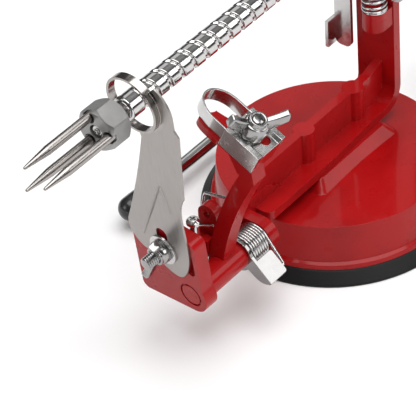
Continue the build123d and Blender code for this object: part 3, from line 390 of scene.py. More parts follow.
class PeelerFinishes(bpy.types.PropertyGroup):
    """Colours and gloss of the finishes."""

    enamel: colour("Enamel", "Base colour of the enamelled castings", (0.36, 0.005, 0.006))
    enamel_dark: colour("Enamel dark", "Colour of its thicker patches", (0.29, 0.003, 0.004))
    enamel_gloss: FloatProperty(
        name="Enamel roughness", description="Roughness of the enamel", default=0.3, min=0, max=1
    )
    steel: colour("Stainless steel", "Colour of the brushed sheet", (0.36, 0.335, 0.32))
    chrome: colour("Chrome", "Colour of the plated pieces", (0.60, 0.59, 0.585))
    satin_steel: colour("Satin steel", "Colour of the blade clamp", (0.66, 0.65, 0.64))
    # The thumb lever also takes this darker tone, as painted shade for the dark arm that its face
    # reflects.
    nut_steel: colour("Nut steel", "Colour of the wing nuts and their bolts", (0.36, 0.355, 0.35))
    cast_metal: colour("Cast metal", "Colour of the fork's hub", (0.33, 0.325, 0.32))
    rubber: colour("Rubber", "Colour of the suction pad", (0.006, 0.006, 0.006))
    plastic: colour("Plastic", "Colour of the knobs", (0.012, 0.012, 0.013))


class PeelerStage(bpy.types.PropertyGroup):
    """The camera, the lights and the floor."""

    view_turn: turning("View turn", "Camera's heading round the object", 131.27)
    view_height: turning("View height", "Camera's angle above the floor", 39.86)
    view_roll: turning("View roll", "Camera's turn about its own line of sight", -4.47)
    view_distance: length("View distance", "From the camera to the origin's plane", 1158.3)
    view_shift: FloatVectorProperty(
        name="View shift",
        description="How far the camera stands to the right of and above the origin",
        size=2,
        default=(-0.05387, 0.00045),
        unit="LENGTH",
    )
    lens: FloatProperty(
        name="Lens", description="Focal length in millimetres", default=234.93, min=1
    )
    floor_colour: colour("Floor", "Colour of the plain floor", (0.93, 0.93, 0.93))


# ---- finishes -----------------------------------------------------------------------------


class Finish:
    """A node material in the making: a shader, object coordinates and short ways to add nodes."""

    def __init__(self, name):
        self.material = bpy.data.materials.new(name)
        self.material.use_nodes = True
        self.tree = self.material.node_tree
        self.tree.nodes.clear()
        self.shader = self.add("ShaderNodeBsdfPrincipled")
        output = self.add("ShaderNodeOutputMaterial")
        self.link(self.shader.outputs["BSDF"], output.inputs["Surface"])
        self.coordinates = self.add("ShaderNodeTexCoord").outputs["Object"]
        self.bump_socket = None

    def colour_from(self, socket):
        """Takes the shader's colour from a socket."""
        self.link(socket, self.shader.inputs["Base Color"])

    def roughness_from(self, socket):
        """Takes the shader's roughness from a socket."""
        self.link(socket, self.shader.inputs["Roughness"])

    def add(self, kind, **settings):
        """A new node with settings."""
        node = self.tree.nodes.new(kind)
        for key, value in settings.items():
            setattr(node, key, value)
        return node

    def link(self, source, target):
        """Joins two sockets."""
        self.tree.links.new(source, target)

    def set(self, **values):
        """Constants on the shader's own sockets, spaces written as underscores."""
        for key, value in values.items():
            self.shader.inputs[key.replace("_", " ")].default_value = value

    def stretched(self, scale):
        """Object coordinates stretched by a scale for each axis."""
        mapping = self.add("ShaderNodeMapping")
        mapping.inputs["Scale"].default_value = scale
        self.link(self.coordinates, mapping.inputs["Vector"])
        return mapping.outputs["Vector"]

    def noise(self, scale, detail=4, roughness=0.55, vector=None):
        """Noise of a scale, in features per metre."""
        node = self.add("ShaderNodeTexNoise")
        node.inputs["Scale"].default_value = scale
        node.inputs["Detail"].default_value = detail
        node.inputs["Roughness"].default_value = roughness
        self.link(vector or self.coordinates, node.inputs["Vector"])
        return node.outputs["Fac"]

    def ramp(self, factor, stops):
        """A colour ramp: (position, colour) stops."""
        node = self.add("ShaderNodeValToRGB")
        elements = node.color_ramp.elements
        while len(elements) < len(stops):
            elements.new(0.5)
        for element, (position, value) in zip(elements, stops):
            element.position = position
            element.color = (*value, 1)
        self.link(factor, node.inputs["Fac"])
        return node.outputs["Color"]

    def spread(self, factor, low, high):
        """A factor between 0.3 and 0.7 spread from low to high."""
        node = self.add("ShaderNodeMapRange")
        node.inputs["From Min"].default_value = 0.3
        node.inputs["From Max"].default_value = 0.7
        node.inputs["To Min"].default_value = low
        node.inputs["To Max"].default_value = high
        self.link(factor, node.inputs["Value"])
        return node.outputs["Result"]

    def bump(self, height, distance, strength=1.0):
        """Adds a layer of bump over those before it."""
        node = self.add("ShaderNodeBump")
        node.inputs["Distance"].default_value = distance
        node.inputs["Strength"].default_value = strength
        self.link(height, node.inputs["Height"])
        if self.bump_socket:
            self.link(self.bump_socket, node.inputs["Normal"])
        self.bump_socket = node.outputs["Normal"]
        self.link(self.bump_socket, self.shader.inputs["Normal"])


def grey(value):
    """A neutral colour."""
    return (value, value, value)


def shade(tone, share):
    """A colour times a share, no channel over one."""
    return tuple(min(channel * share, 1) for channel in tone)


def enamel_finish(look):
    """Thick red enamel over a sand casting: patches of depth, orange peel and slow waves."""
    finish = Finish("red enamel")
    patches = finish.noise(scale=38, detail=5)
    finish.colour_from(
        finish.ramp(patches, [(0.32, look.enamel_dark), (0.55, look.enamel), (0.8, look.enamel)])
    )
    smear = finish.noise(scale=120, detail=6, roughness=0.6)
    gloss = look.enamel_gloss
    finish.roughness_from(finish.spread(smear, gloss - 0.05, gloss + 0.06))
    finish.bump(finish.noise(scale=75, detail=2), distance=0.3 * MM, strength=0.35)
    finish.bump(finish.noise(scale=520, detail=3), distance=0.05 * MM, strength=0.4)
    finish.set(Coat_Weight=0.3, Coat_Roughness=0.07, IOR=1.45, Specular_IOR_Level=0.1)
    return finish.material


def ring_of_slicer():
    """The middle, the direction and the outer radius of the slicer's coring ring."""
    shaft = joint_place("crank turn")
    sheet_front = corners_of("slicer_blade")[1][0]
    aside, above = 1.2 * MM, 0.6 * MM
    sheet_normal = (0.991, -0.081, -0.103)
    return (sheet_front, shaft[1] + aside, shaft[2] + above), sheet_normal, 13.2 * MM


def polish_ring(finish, brushed):
    """Makes the sheet smoother within the ring's radius of its axis, where it is polished.

    The distance from the axis is the length of the cross product of the way from the ring's
    middle with the axis. `brushed` is the roughness of the sheet outside the ring.
    """
    middle, along, radius = ring_of_slicer()
    blend, polished = 1.2 * MM, 0.17
    away = finish.add("ShaderNodeVectorMath", operation="SUBTRACT")
    finish.link(finish.coordinates, away.inputs[0])
    away.inputs[1].default_value = middle
    cross = finish.add("ShaderNodeVectorMath", operation="CROSS_PRODUCT")
    finish.link(away.outputs["Vector"], cross.inputs[0])
    cross.inputs[1].default_value = along
    distance = finish.add("ShaderNodeVectorMath", operation="LENGTH")
    finish.link(cross.outputs["Vector"], distance.inputs[0])
    edge = finish.add("ShaderNodeMapRange")
    edge.inputs["From Min"].default_value = radius
    edge.inputs["From Max"].default_value = radius + blend
    finish.link(distance.outputs["Value"], edge.inputs["Value"])
    rough = finish.add("ShaderNodeMapRange")
    finish.link(edge.outputs["Result"], rough.inputs["Value"])
    rough.inputs["To Min"].default_value = polished
    finish.link(brushed, rough.inputs["To Max"])
    return rough.outputs["Result"]


def brushed_finish(look, name, stretch, low=0.30, high=0.46, ring=False):
    """Brushed stainless sheet: fine lines along one direction, broken by soft cloudy patches."""
    sheet = tuple(look.steel)
    finish = Finish(name)
    brushing = finish.stretched(stretch)
    lines = finish.noise(scale=1.0, detail=6, roughness=0.7, vector=brushing)
    clouds = finish.noise(scale=60, detail=4)
    stops = [(0.25, shade(sheet, 0.86)), (0.5, sheet), (0.78, shade(sheet, 1.12))]
    tint = finish.ramp(lines, stops)
    mix = finish.add("ShaderNodeMix", data_type="RGBA", blend_type="MULTIPLY")
    mix.inputs["Factor"].default_value = 0.35
    finish.link(tint, mix.inputs["A"])
    finish.link(finish.ramp(clouds, [(0.3, grey(0.82)), (0.7, grey(1.0))]), mix.inputs["B"])
    finish.colour_from(mix.outputs["Result"])
    brushed = finish.spread(lines, low, high)
    finish.roughness_from(polish_ring(finish, brushed) if ring else brushed)
    finish.bump(lines, distance=0.03 * MM, strength=0.35)
    finish.set(Metallic=1.0)
    return finish.material


def chrome_finish(look, name="bright plating", low=0.07, high=0.16, tone=None):
    """Bright metal with faint smudges, its roughness from low to high, over a slight unevenness."""
    finish = Finish(name)
    plate = tuple(tone or look.chrome)
    smudges = finish.noise(scale=180, detail=6, roughness=0.65)
    finish.colour_from(finish.ramp(smudges, [(0.3, shade(plate, 0.88)), (0.65, plate)]))
    finish.roughness_from(finish.spread(smudges, low, high))
    finish.bump(finish.noise(scale=260, detail=2), distance=0.04 * MM, strength=0.35)
    finish.set(Metallic=1.0)
    return finish.material


def cast_metal_finish(look):
    """Tumbled cast alloy: matte, grainy, a little darker in its pits."""
    finish = Finish("tumbled alloy")
    alloy = tuple(look.cast_metal)
    grain = finish.noise(scale=900, detail=5, roughness=0.7)
    patches = finish.noise(scale=90, detail=4)
    finish.colour_from(finish.ramp(patches, [(0.3, shade(alloy, 0.8)), (0.7, alloy)]))
    finish.roughness_from(finish.spread(grain, 0.3, 0.46))
    finish.bump(patches, distance=0.3 * MM, strength=0.4)
    finish.bump(grain, distance=0.05 * MM, strength=0.5)
    finish.set(Metallic=0.9)
    return finish.material


def rubber_finish(look):
    """Moulded black rubber: soft sheen, fine grain and a dusty bloom."""
    finish = Finish("moulded rubber")
    bloom = finish.noise(scale=45, detail=6)
    finish.colour_from(finish.ramp(bloom, [(0.35, tuple(look.rubber)), (0.8, grey(0.012))]))
    finish.roughness_from(finish.spread(bloom, 0.45, 0.6))
    finish.bump(finish.noise(scale=1400, detail=3), distance=0.04 * MM, strength=0.4)
    finish.set(Specular_IOR_Level=0.22)
    return finish.material


def plastic_finish(look):
    """Moulded black plastic with faint flow marks."""
    finish = Finish("moulded plastic")
    flow = finish.noise(scale=1.0, detail=4, vector=finish.stretched((40, 160, 160)))
    finish.colour_from(finish.ramp(flow, [(0.3, tuple(look.plastic)), (0.8, grey(0.02))]))
    finish.roughness_from(finish.spread(flow, 0.16, 0.28))
    finish.bump(finish.noise(scale=700, detail=2), distance=0.03 * MM, strength=0.3)
    return finish.material


# The finishes by name, filled by the finishes operator.
FINISHES = {}

# The finish of each material slot, for the nodes that stay as they are packed.
SLOT_FINISHES = {
    "red_enamel": "enamel",
    "black_rubber": "rubber",
    "bright_chrome": "plating",
    "brushed_stainless": "brushed sheet",
    "cast_aluminium": "alloy",
    "black_plastic": "plastic",
    "plated_steel": "zinc",
}


# ---- pieces -------------------------------------------------------------------------------


def eased_copy(node, radius, segments, finish):
    """A copy of a rigid CAD node with its doubles joined, flat faces merged and edges rounded."""
    merge_distance = 0.002 * MM
    flat_within, sharp_over = math.radians(0.05), math.radians(28)
    mesh = NODES[node].data.copy()
    mesh.name = node + "_eased"
    work = bmesh.new()
    work.from_mesh(mesh)
    bmesh.ops.remove_doubles(work, verts=work.verts, dist=merge_distance)
    bmesh.ops.dissolve_limit(work, angle_limit=flat_within, verts=work.verts, edges=work.edges)
    work.to_mesh(mesh)
    work.free()
    mesh.polygons.foreach_set("use_smooth", np.ones(len(mesh.polygons), bool))
    piece = new_object(node + "_eased", mesh)
    bevel = piece.modifiers.new("Eased edges", "BEVEL")
    bevel.width = radius
    bevel.segments = segments
    bevel.limit_method = "ANGLE"
    bevel.angle_limit = sharp_over
    bevel.use_clamp_overlap = True
    even = piece.modifiers.new("Flat faces stay flat", "WEIGHTED_NORMAL")
    even.mode = "FACE_AREA"
    even.weight = 50
    dress(piece, node, finish)


# The nodes with rounded edges, and their finishes.
CAST_NODES = {
    "frame_casting": "enamel",
    "peel_arm": "enamel",
    "base_dome": "enamel",
    "suction_pad": "rubber",
    "fork_hub": "alloy",
}

# The nodes with eased edges, and their finishes.
SHEET_NODES = {
    "slicer_blade": "brushed sheet",
    "blade_clamp": "satin steel",
    "peeling_blade": "polished strip",
    # The thumb lever's strip has a darker tone than the release lever's: painted shade for the dark
    # arm reflected in it.
    "arm_thumb_lever": "dark strip",
    "release_lever": "polished strip",
    "crank_arm": "plating",
    "stop_screw": "plating",
    "fork_screw": "plating",
    "crank_nut": "zinc",
    "slicer_washer": "dark washer",
    "blade_washer": "plating",
    "release_pin": "plating",
    "frame_screws": "zinc",
    "pivot_pin": "enamel",
}


def feed_shaft(sizes):
    """The feed shaft: a round bar with a spiral groove.

    Its radius at a place along the axis and an angle is the bar's radius less the groove's
    depth times a smooth-sided trapezium of the distance to the groove's middle, which moves
    forwards by one lead in a turn. The groove fades out over a short length at both ends.
    """
    low, high = corners_of("screw_shaft")
    axis_height = (low[2] + high[2]) / 2
    radius = (high[2] - low[2]) / 2
    neck, edge, fade = radius * 0.79, 0.6 * MM, 2.5 * MM
    half_tooth, crank_gap, hub_gap = 0.8 * MM, 2 * MM, 5 * MM
    turns = math.radians(JOINTS["crank turn"]["range_deg"][0]) / (2 * math.pi)
    lead = JOINTS["shaft travel"]["range_m"][0] / turns
    body_back = corners_of("crank_arm")[1][0] + crank_gap
    body_front = corners_of("fork_hub")[0][0] - hub_gap
    tooth = corners_of("release_lever")[0][0] + half_tooth
    turns_behind, turns_ahead = 3.5, 20.5
    groove_back, groove_front = tooth - turns_behind * lead, tooth + turns_ahead * lead

    body = np.linspace(body_back + edge, body_front - edge, 900)
    outline = np.concatenate(
        [
            [(low[0], 0), (low[0], neck - edge), (low[0] + edge, neck), (body_back, neck)],
            [(body_back, radius - edge)],
            np.stack([body, np.full(len(body), radius)], -1),
            [(body_front, radius - edge)],
            [(body_front, neck), (high[0] - edge, neck), (high[0], neck - edge), (high[0], 0)],
        ]
    )
    along, bar = outline.T[:, :, None]
    angle = angles_round(60)
    turn = (along - tooth) / lead - (angle + np.pi / 2) / (2 * np.pi)
    off_middle = np.abs(turn - np.round(turn)) * lead
    slope = (sizes.groove_mouth - sizes.groove_floor) / 2
    wall = np.clip((sizes.groove_mouth / 2 - off_middle) / slope, 0, 1)
    wall = wall * wall * (3 - 2 * wall)
    from_back = np.clip((along - groove_back) / fade, 0, 1)
    from_front = np.clip((groove_front - along) / fade, 0, 1)
    local = np.maximum(bar - sizes.groove_depth * wall * (from_back * from_front), 0)
    place = facing_forwards((0, 0, axis_height))
    tube = closed_tube(place(on_cylinder(local, angle, along)))
    dress(make_mesh("feed_shaft_grooved", [tube], crease=50), "screw_shaft", "plating")


def arm_spring(sizes):
    """The arm's torsion spring: a close helix on the pivot, as one round wire.

    Its rear leg runs under the thumb lever's tab. Its front leg rises behind the arm, passes over
    the frame's lug and comes back in front of it.
    """
    wire = sizes.wire_radius
    low, _ = corners_of("arm_spring")
    _, y, z = joint_place("peeling arm swing")
    coil = z - low[2] - wire
    pitch = 2 * wire + sizes.coil_gap
    sheet_back = corners_of("arm_thumb_lever")[1][0] - sizes.sheet
    front = sheet_back - wire - sizes.coil_gap
    back = low[0] + wire
    turns = (front - back) / pitch
    s = np.linspace(0, 1, 700)
    angle = np.pi / 2 - 2 * np.pi * turns * (1 - s)
    place = facing_forwards((0, y, z))
    helix = place(on_cylinder(coil, angle, back + (front - back) * s))

    outwards = np.array([0, np.sin(angle[0]), -np.cos(angle[0])])
    rear_end = helix[0] + outwards * sizes.rear_leg
    rear_leg = smooth_route([rear_end + [3 * MM, 0, 0], rear_end, helix[0]], bend=1.4 * MM)

    lug_back = front + 3.2 * MM
    lug_front = lug_back + 6.6 * MM
    hook_side = y - 14 * MM
    hook_top = z + 27.2 * MM
    leaving_coil = [
        (front, y, z + coil),
        (front, y - 0.75 * coil, z + coil),
        (front, y - 0.6 * coil, z + 2 * coil),
    ]
    behind_lug = [
        (lug_back, y - 0.6 * MM, hook_top + 2.3 * MM),
        (lug_back, hook_side + 0.3 * MM, hook_top - 0.6 * MM),
    ]
    before_lug = [
        (lug_back + 1.5 * MM, hook_side - 0.5 * MM, hook_top - 8 * MM),
        (lug_front, hook_side + 1.6 * MM, hook_top - 12.4 * MM),
        (lug_front + 0.3 * MM, hook_side + 9.6 * MM, hook_top - 8.6 * MM),
    ]
    front_leg = smooth_route(leaving_coil + behind_lug + before_lug, bend=1.7 * MM)
    path = np.concatenate([rear_leg[:-1], helix, front_leg[1:]])
    tube = closed_tube(carried_tube(path, wire, sizes.wire_sides))
    dress(make_mesh("arm_torsion_spring", [tube]), "arm_spring", "spring wire")


def release_spring(sizes):
    """The release spring: an open helix whose first and last turns lie flat, as one round wire.

    The height follows the angle less a sine of it, so that it starts and ends slowly.
    """
    turns, flatness = 5.5, 0.8
    wire = sizes.wire_radius
    low, high = corners_of("release_spring")
    middle = (low + high) / 2
    radius = (high[0] - low[0]) / 2 - wire
    bottom, top = low[2] + wire, high[2] - wire
    s = np.linspace(0, 1, 420)
    climb = s - np.sin(2 * np.pi * s) / (2 * np.pi) * flatness
    place = axis_frame((middle[0], middle[1], 0), (0, 0, 1), (1, 0, 0))
    path = place(on_cylinder(radius, 2 * np.pi * turns * s, bottom + (top - bottom) * climb))
    tube = closed_tube(carried_tube(path, wire, sizes.wire_sides))
    dress(make_mesh("release_coil", [tube]), "release_spring", "spring wire")


# ---- fasteners ----------------------------------------------------------------------------

# A wing nut with its bolt: the nodes, the piece's name, the joint, the size that holds its bore,
# the barrel's share of the height and its wall, the thread's radius, and how much longer the
# bolt is than its node.
WingNut = namedtuple("WingNut", "node bolt name joint bore barrel wall thread longer")
WING_NUTS = (
    WingNut(
        "blade_wing_nut", "blade_bolt", "blade_nut", "blade nut turn", "nut_bore_blade",
        barrel=0.72, wall=3.0 * MM, thread=2.4 * MM, longer=0,
    ),
    WingNut(
        "slicer_wing_nut", "slicer_bolt", "slicer_nut", "slicer nut turn", "nut_bore_slicer",
        barrel=0.5, wall=2.2 * MM, thread=2.8 * MM, longer=2.2 * MM,
    ),
)


def wing(side, half, height, root, thickness):
    """One wing of a wing nut, (rows, columns, 3) in the nut's own frame, +Z away from the work.

    Its middle line rises outwards as a parabola; its section is a superellipse that is tall and
    thin at the barrel and thicker and lower at the tip, leans inwards, and closes at the tip.
    """
    squareness, lean, tip_share, tip_size = 0.38, 0.275, 0.07, 0.84
    s = np.linspace(0, 1, 26)[:, None]
    reach = root + (half - root) * s
    rise = height * (0.33 + 0.31 * s + 0.14 * s**2)
    closing = rounded_end(1 - s, tip_share, tip_size)
    tall = height * (0.27 - 0.07 * s) * closing
    thick = thickness / 2 * (0.92 + 0.4 * s) * closing
    around = angles_round(28)
    cos, sin = np.cos(around), np.sin(around)
    across = thick * np.sign(cos) * np.abs(cos) ** squareness
    up = tall * np.sign(sin) * np.abs(sin) ** squareness
    return np.stack([side * (reach - lean * up), across, rise + up], axis=-1)


def wing_nut(nut, along, wing_line, sizes):
    """A cast wing nut in the place of its node: a tapered barrel with a collar and two wings."""
    centre = joint_place(nut.joint)
    away = node_points(nut.node) - centre
    depth = away @ along
    foot, height = depth.min(), np.ptp(depth)
    half = np.abs(away @ wing_line).max()
    place = axis_frame(centre + along * foot, along, wing_line)
    bore = getattr(sizes, nut.bore)
    base, collar, root = bore + nut.wall, bore + 1.2 * MM, bore + 0.8 * MM
    top = height * nut.barrel
    seam = (bore, 0.1 * MM)
    profile = rounded_profile(
        [
            seam,
            (bore, 0),
            (base, 0),
            (base, top * 0.28),
            (base * 0.95, top * 0.56),
            (base * 0.84, top * 0.74),
            (collar, top * 0.77),
            (collar, top),
            (bore + 0.25 * MM, top),
            (bore, top - 0.35 * MM),
            seam,
        ],
        reach=0.45 * MM,
        steps=5,
    )
    parts = [open_tube(turned(profile, 48, place))]
    for side in (-1, 1):
        parts.append(closed_tube(place(wing(side, half, height, root, sizes.wing_thickness))))
    dress(make_mesh(nut.name, parts, crease=40), nut.node, "nut steel")


def bolt(nut, along, across):
    """The threaded bolt of a wing nut: a helical thread of triangular section with a domed end,
    and a low round head."""
    head_height, pitch = 2.0 * MM, 1.0 * MM
    points = node_points(nut.bolt)
    middle = points.mean(axis=0)
    aside, depth = off_axis(points, middle, along)
    low, high = depth.min(), depth.max()
    origin = middle + (aside.max(axis=0) + aside.min(axis=0)) / 2
    head = np.linalg.norm(off_axis(points, origin, along)[0], axis=1).max()
    place = axis_frame(origin, along, across)
    start = low + head_height
    rod = threaded_rod(nut.thread, start, high + nut.longer, pitch, place)
    profile = rounded_profile(
        [(0, low), (head - 0.5 * MM, low), (head, low + 0.7 * MM), (head, start), (0, start)],
        reach=0.4 * MM,
    )
    parts = [closed_tube(rod), closed_tube(turned(profile, 40, place))]
    dress(make_mesh(nut.name + "_bolt", parts, crease=50), nut.bolt, "nut steel")


def fork_prongs(sizes):
    """Three round prongs: a straight shank, a long taper and a blunt rounded point.

    Each is turned about its own line, and the lines stand evenly on a circle about the shaft.
    """
    taper_length, narrowing, nose_length, blunt = 13 * MM, 0.66, 0.6 * MM, 0.02 * MM
    points = node_points("fork_prongs")
    axis_height = joint_place("crank turn")[2]
    back, front = points[:, 0].min(), points[:, 0].max()
    shank, nose_start = sizes.prong_radius, front - nose_length
    taper_start = front - taper_length
    s = np.linspace(0, 1, 24)
    taper_reach = taper_start + (nose_start - taper_start) * s
    taper = np.stack([shank * (1 - narrowing * s), taper_reach], -1)
    t = np.linspace(0, np.pi / 2, 6)[1:-1]
    nose = np.stack([taper[-1, 0] * np.cos(t), nose_start + nose_length * np.sin(t)], -1)
    profile = np.concatenate([[(0, back), (shank, back)], taper, nose, [(blunt, front)]])
    radial = np.hypot(points[:, 1], points[:, 2] - axis_height)
    circle = (radial.max() + radial.min()) / 2
    parts = []
    for angle in sizes.prong_angle + np.arange(3) * 2 * np.pi / 3:
        origin = (0, circle * math.cos(angle), axis_height + circle * math.sin(angle))
        parts.append(closed_tube(turned(profile, 32, facing_forwards(origin))))
    dress(make_mesh("prongs", parts, crease=45), "fork_prongs", "prong steel")


def lever_knob():
    """The suction lever's knob, turned round an axis along X and slimmer than its node.

    Its radius is a power of a sine of the way along, and a quarter ellipse closes the nose.
    """
    slimness, rod, lip = 0.82, 2.9 * MM, 0.2 * MM
    nose_start = 0.78
    low, high = corners_of("suction_knob")
    _, y, z = (low + high) / 2
    length_along, _, height = high - low
    radius = height / 2 * slimness
    s = np.linspace(0, 1, 40)
    bulge = radius * (0.66 + 0.34 * np.sin(np.pi * (0.1 + 0.55 * s)) ** 1.2)
    past_nose = np.clip((s - nose_start) / (1 - nose_start), 0, 1)
    nose = np.sqrt(np.clip(1 - past_nose**2, 0, 1))
    outer = np.stack([np.minimum(bulge, radius) * nose, s * length_along], -1)
    profile = np.concatenate([[(0, lip), (rod, lip), (rod + 2 * lip, 0)], outer])
    rings = turned(profile, 56, facing_forwards((low[0], y, z)))
    knob = make_mesh("suction_lever_knob", [closed_tube(rings)], crease=40)
    dress(knob, "suction_knob", "plastic")


# ---- stage --------------------------------------------------------------------------------

LIGHT_AIM = Vector((0.04, 0, 0.06))

# Each square soft light: its place, its side and its power in watts.
LIGHTS = {
    "overhead box": ((0.05, 0.1, 1.5), 1.4, 22),
    "back box": ((-0.87, -0.76, 0.96), 0.6, 0.9),
    "right box": ((0.35, 1.3, 0.8), 0.7, 6),
    "front box": ((1.35, -0.7, 0.7), 0.7, 4.5),
    "left box": ((-0.66, 0.80, 0.70), 0.6, 3),
}


def add_floor(stage):
    """A plain floor of pale paper at the object's lowest point."""
    reach = 6.0
    height = CAD_BOX[0][2]
    mesh = bpy.data.meshes.new("floor")
    corners = [(-reach, -reach), (reach, -reach), (reach, reach), (-reach, reach)]
    mesh.from_pydata([(x, y, height) for x, y in corners], [], [(0, 1, 2, 3)])
    floor = new_object("floor", mesh)
    paper = Finish("pale paper")
    pale = tuple(stage.floor_colour)
    tone = paper.noise(scale=3, detail=2)
    paper.colour_from(paper.ramp(tone, [(0.3, shade(pale, 0.985)), (0.7, pale)]))
    paper.set(Roughness=0.9)
    mesh.materials.append(paper.material)


def studio_world():
    """A dim surround that brightens smoothly towards the ceiling."""
    ceiling_start, ceiling_full, dim, bright = 0.66, 0.94, 0.09, 0.55
    world = bpy.data.worlds.new("studio")
    world.use_nodes = True
    nodes, links = world.node_tree.nodes, world.node_tree.links
    heading = nodes.new("ShaderNodeTexCoord")
    height = nodes.new("ShaderNodeSeparateXYZ")
    links.new(heading.outputs["Generated"], height.inputs["Vector"])
    ceiling = nodes.new("ShaderNodeMapRange")
    ceiling.interpolation_type = "SMOOTHSTEP"
    ceiling.inputs["From Min"].default_value = ceiling_start
    ceiling.inputs["From Max"].default_value = ceiling_full
    ceiling.inputs["To Min"].default_value = dim
    ceiling.inputs["To Max"].default_value = bright
    links.new(height.outputs["Z"], ceiling.inputs["Value"])
    links.new(ceiling.outputs["Result"], nodes["Background"].inputs["Strength"])
    nodes["Background"].inputs["Color"].default_value = (1, 1, 1, 1)
    return world


def add_light(name, place, side, power):
    """A square soft light aimed at the object's middle."""
    data = bpy.data.lights.new(name, "AREA")
    data.shape = "SQUARE"
    data.size = side
    data.energy = power
    facing = (LIGHT_AIM - Vector(place)).to_track_quat("-Z", "Y").to_matrix().to_4x4()
    new_object(name, data).matrix_world = Matrix.Translation(place) @ facing


def place_camera(stage):
    """Stands the camera at its heading, height and roll, moved sideways and up by its shift."""
    turn, height, roll = stage.view_turn, stage.view_height, stage.view_roll
    sight = Vector(
        (-math.sin(turn) * math.cos(height), math.cos(turn) * math.cos(height), -math.sin(height))
    )
    level = Vector((math.cos(turn), math.sin(turn), 0))
    rise = level.cross(sight)
    right = math.cos(roll) * level + math.sin(roll) * rise
    up = math.cos(roll) * rise - math.sin(roll) * level
    place = level * stage.view_shift[0] + rise * stage.view_shift[1] - sight * stage.view_distance
    data = bpy.data.cameras.new("camera")
    data.sensor_width = 36
    data.lens = stage.lens
    camera = new_object("camera", data)
    turned_axes = Matrix((right, up, -sight)).transposed().to_4x4()
    camera.matrix_world = Matrix.Translation(place) @ turned_axes
    bpy.context.scene.camera = camera


# ---- operators ----------------------------------------------------------------------------


class PEELER_OT_finishes(bpy.types.Operator):
    """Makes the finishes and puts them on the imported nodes"""

    bl_idname = "peeler.finishes"
    bl_label = "Finishes"

    def execute(self, context):
        look = context.scene.peeler_finishes
        FINISHES["enamel"] = enamel_finish(look)
        FINISHES["brushed sheet"] = brushed_finish(
            look, "brushed sheet", (900, 900, 22), ring=True
        )
        FINISHES["prong steel"] = brushed_finish(look, "prong steel", (60, 500, 500), 0.18, 0.3)
        FINISHES["satin steel"] = chrome_finish(look, "satin steel", 0.2, 0.3, look.satin_steel)
        FINISHES["polished strip"] = chrome_finish(look, "polished strip", 0.12, 0.24)
        FINISHES["plating"] = chrome_finish(look)
        FINISHES["nut steel"] = chrome_finish(look, "nut steel", 0.14, 0.26, look.nut_steel)
        # The same stainless strip in the nut steel's darker tone: painted shade standing in for the
        # dark red arm reflected in its face.
        FINISHES["dark strip"] = chrome_finish(look, "dark strip", 0.12, 0.2, look.nut_steel)
        FINISHES["spring wire"] = chrome_finish(look, "spring wire", 0.14, 0.26)
        FINISHES["zinc"] = chrome_finish(look, "zinc plating", 0.22, 0.36)
        FINISHES["dark washer"] = chrome_finish(look, "washer steel", 0.2, 0.32)
        FINISHES["alloy"] = cast_metal_finish(look)
        FINISHES["rubber"] = rubber_finish(look)
        FINISHES["plastic"] = plastic_finish(look)
        for name, node in NODES.items():
            for slot in node.material_slots:
                slot.material = FINISHES[SLOT_FINISHES[slot_of_node(name)]]
        return {"FINISHED"}


class PEELER_OT_castings(bpy.types.Operator):
    """Rounds the edges of the castings and of the suction pad"""

    bl_idname = "peeler.castings"
    bl_label = "Castings"

    def execute(self, context):
        for node, finish in CAST_NODES.items():
            eased_copy(node, context.scene.peeler_sizes.cast_edge, 3, finish)
        return {"FINISHED"}


class PEELER_OT_sheet_metal(bpy.types.Operator):
    """Eases the edges of the blades, levers and small fasteners"""

    bl_idname = "peeler.sheet_metal"
    bl_label = "Sheet metal"

    def execute(self, context):
        for node, finish in SHEET_NODES.items():
            eased_copy(node, context.scene.peeler_sizes.sheet_edge, 2, finish)
        return {"FINISHED"}


class PEELER_OT_fasteners(bpy.types.Operator):
    """Makes the wing nuts and their threaded bolts"""

    bl_idname = "peeler.fasteners"
    bl_label = "Fasteners"

    def execute(self, context):
        for nut in WING_NUTS:
            along = unit(np.array(JOINTS[nut.joint]["axis"], float))
            wing_line = widest_line(nut.node, along)
            wing_nut(nut, along, wing_line, context.scene.peeler_sizes)
            bolt(nut, along, wing_line)
        return {"FINISHED"}


class PEELER_OT_fork(bpy.types.Operator):
    """Makes the fork's prongs"""

    bl_idname = "peeler.fork"
    bl_label = "Fork"

    def execute(self, context):
        fork_prongs(context.scene.peeler_sizes)
        return {"FINISHED"}


class PEELER_OT_lever_knob(bpy.types.Operator):
    """Turns the knob of the suction lever"""

    bl_idname = "peeler.lever_knob"
    bl_label = "Lever knob"

    def execute(self, context):
        lever_knob()
        return {"FINISHED"}


class PEELER_OT_feed_shaft(bpy.types.Operator):
    """Cuts the spiral groove of the feed shaft"""

    bl_idname = "peeler.feed_shaft"
    bl_label = "Feed shaft"

    def execute(self, context):
        feed_shaft(context.scene.peeler_sizes)
        return {"FINISHED"}


class PEELER_OT_springs(bpy.types.Operator):
    """Winds the springs"""

    bl_idname = "peeler.springs"
    bl_label = "Springs"

    def execute(self, context):
        arm_spring(context.scene.peeler_sizes)
        release_spring(context.scene.peeler_sizes)
        return {"FINISHED"}


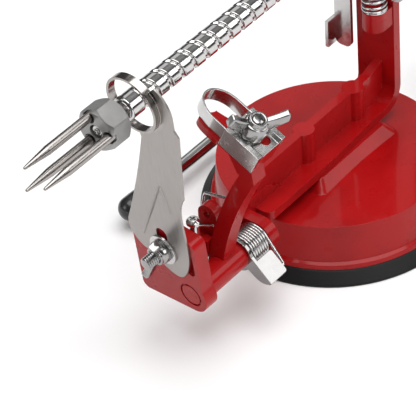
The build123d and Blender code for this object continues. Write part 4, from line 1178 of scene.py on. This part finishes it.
class PEELER_OT_stage(bpy.types.Operator):
    """Sets the floor, the lights and the camera"""

    bl_idname = "peeler.stage"
    bl_label = "Stage"

    def execute(self, context):
        stage = context.scene.peeler_stage
        add_floor(stage)
        for name, (place, side, power) in LIGHTS.items():
            add_light(name, place, side, power)
        context.scene.world = studio_world()
        context.scene.view_settings.view_transform = "Standard"
        place_camera(stage)
        return {"FINISHED"}


class PEELER_PT_panel(bpy.types.Panel):
    """Lists the operators of the peeler"""

    bl_idname = "PEELER_PT_panel"
    bl_label = "Apple peeler"
    bl_space_type = "VIEW_3D"
    bl_region_type = "UI"
    bl_category = "Peeler"

    def draw(self, context):
        for operator in OPERATORS:
            self.layout.operator(operator.bl_idname)


OPERATORS = (
    PEELER_OT_finishes,
    PEELER_OT_castings,
    PEELER_OT_sheet_metal,
    PEELER_OT_fasteners,
    PEELER_OT_fork,
    PEELER_OT_lever_knob,
    PEELER_OT_feed_shaft,
    PEELER_OT_springs,
    PEELER_OT_stage,
)
CLASSES = (PeelerSizes, PeelerFinishes, PeelerStage, *OPERATORS, PEELER_PT_panel)


def register():
    """Registers the classes and their settings on the scene."""
    for item in CLASSES:
        bpy.utils.register_class(item)
    bpy.types.Scene.peeler_sizes = PointerProperty(type=PeelerSizes)
    bpy.types.Scene.peeler_finishes = PointerProperty(type=PeelerFinishes)
    bpy.types.Scene.peeler_stage = PointerProperty(type=PeelerStage)


def unregister():
    """Removes what register added."""
    del bpy.types.Scene.peeler_stage
    del bpy.types.Scene.peeler_finishes
    del bpy.types.Scene.peeler_sizes
    for item in reversed(CLASSES):
        bpy.utils.unregister_class(item)


def main():
    register()
    bpy.ops.peeler.finishes()
    bpy.ops.peeler.castings()
    bpy.ops.peeler.sheet_metal()
    bpy.ops.peeler.fasteners()
    bpy.ops.peeler.fork()
    bpy.ops.peeler.lever_knob()
    bpy.ops.peeler.feed_shaft()
    bpy.ops.peeler.springs()
    bpy.ops.peeler.stage()


if __name__ == "__main__":
    main()
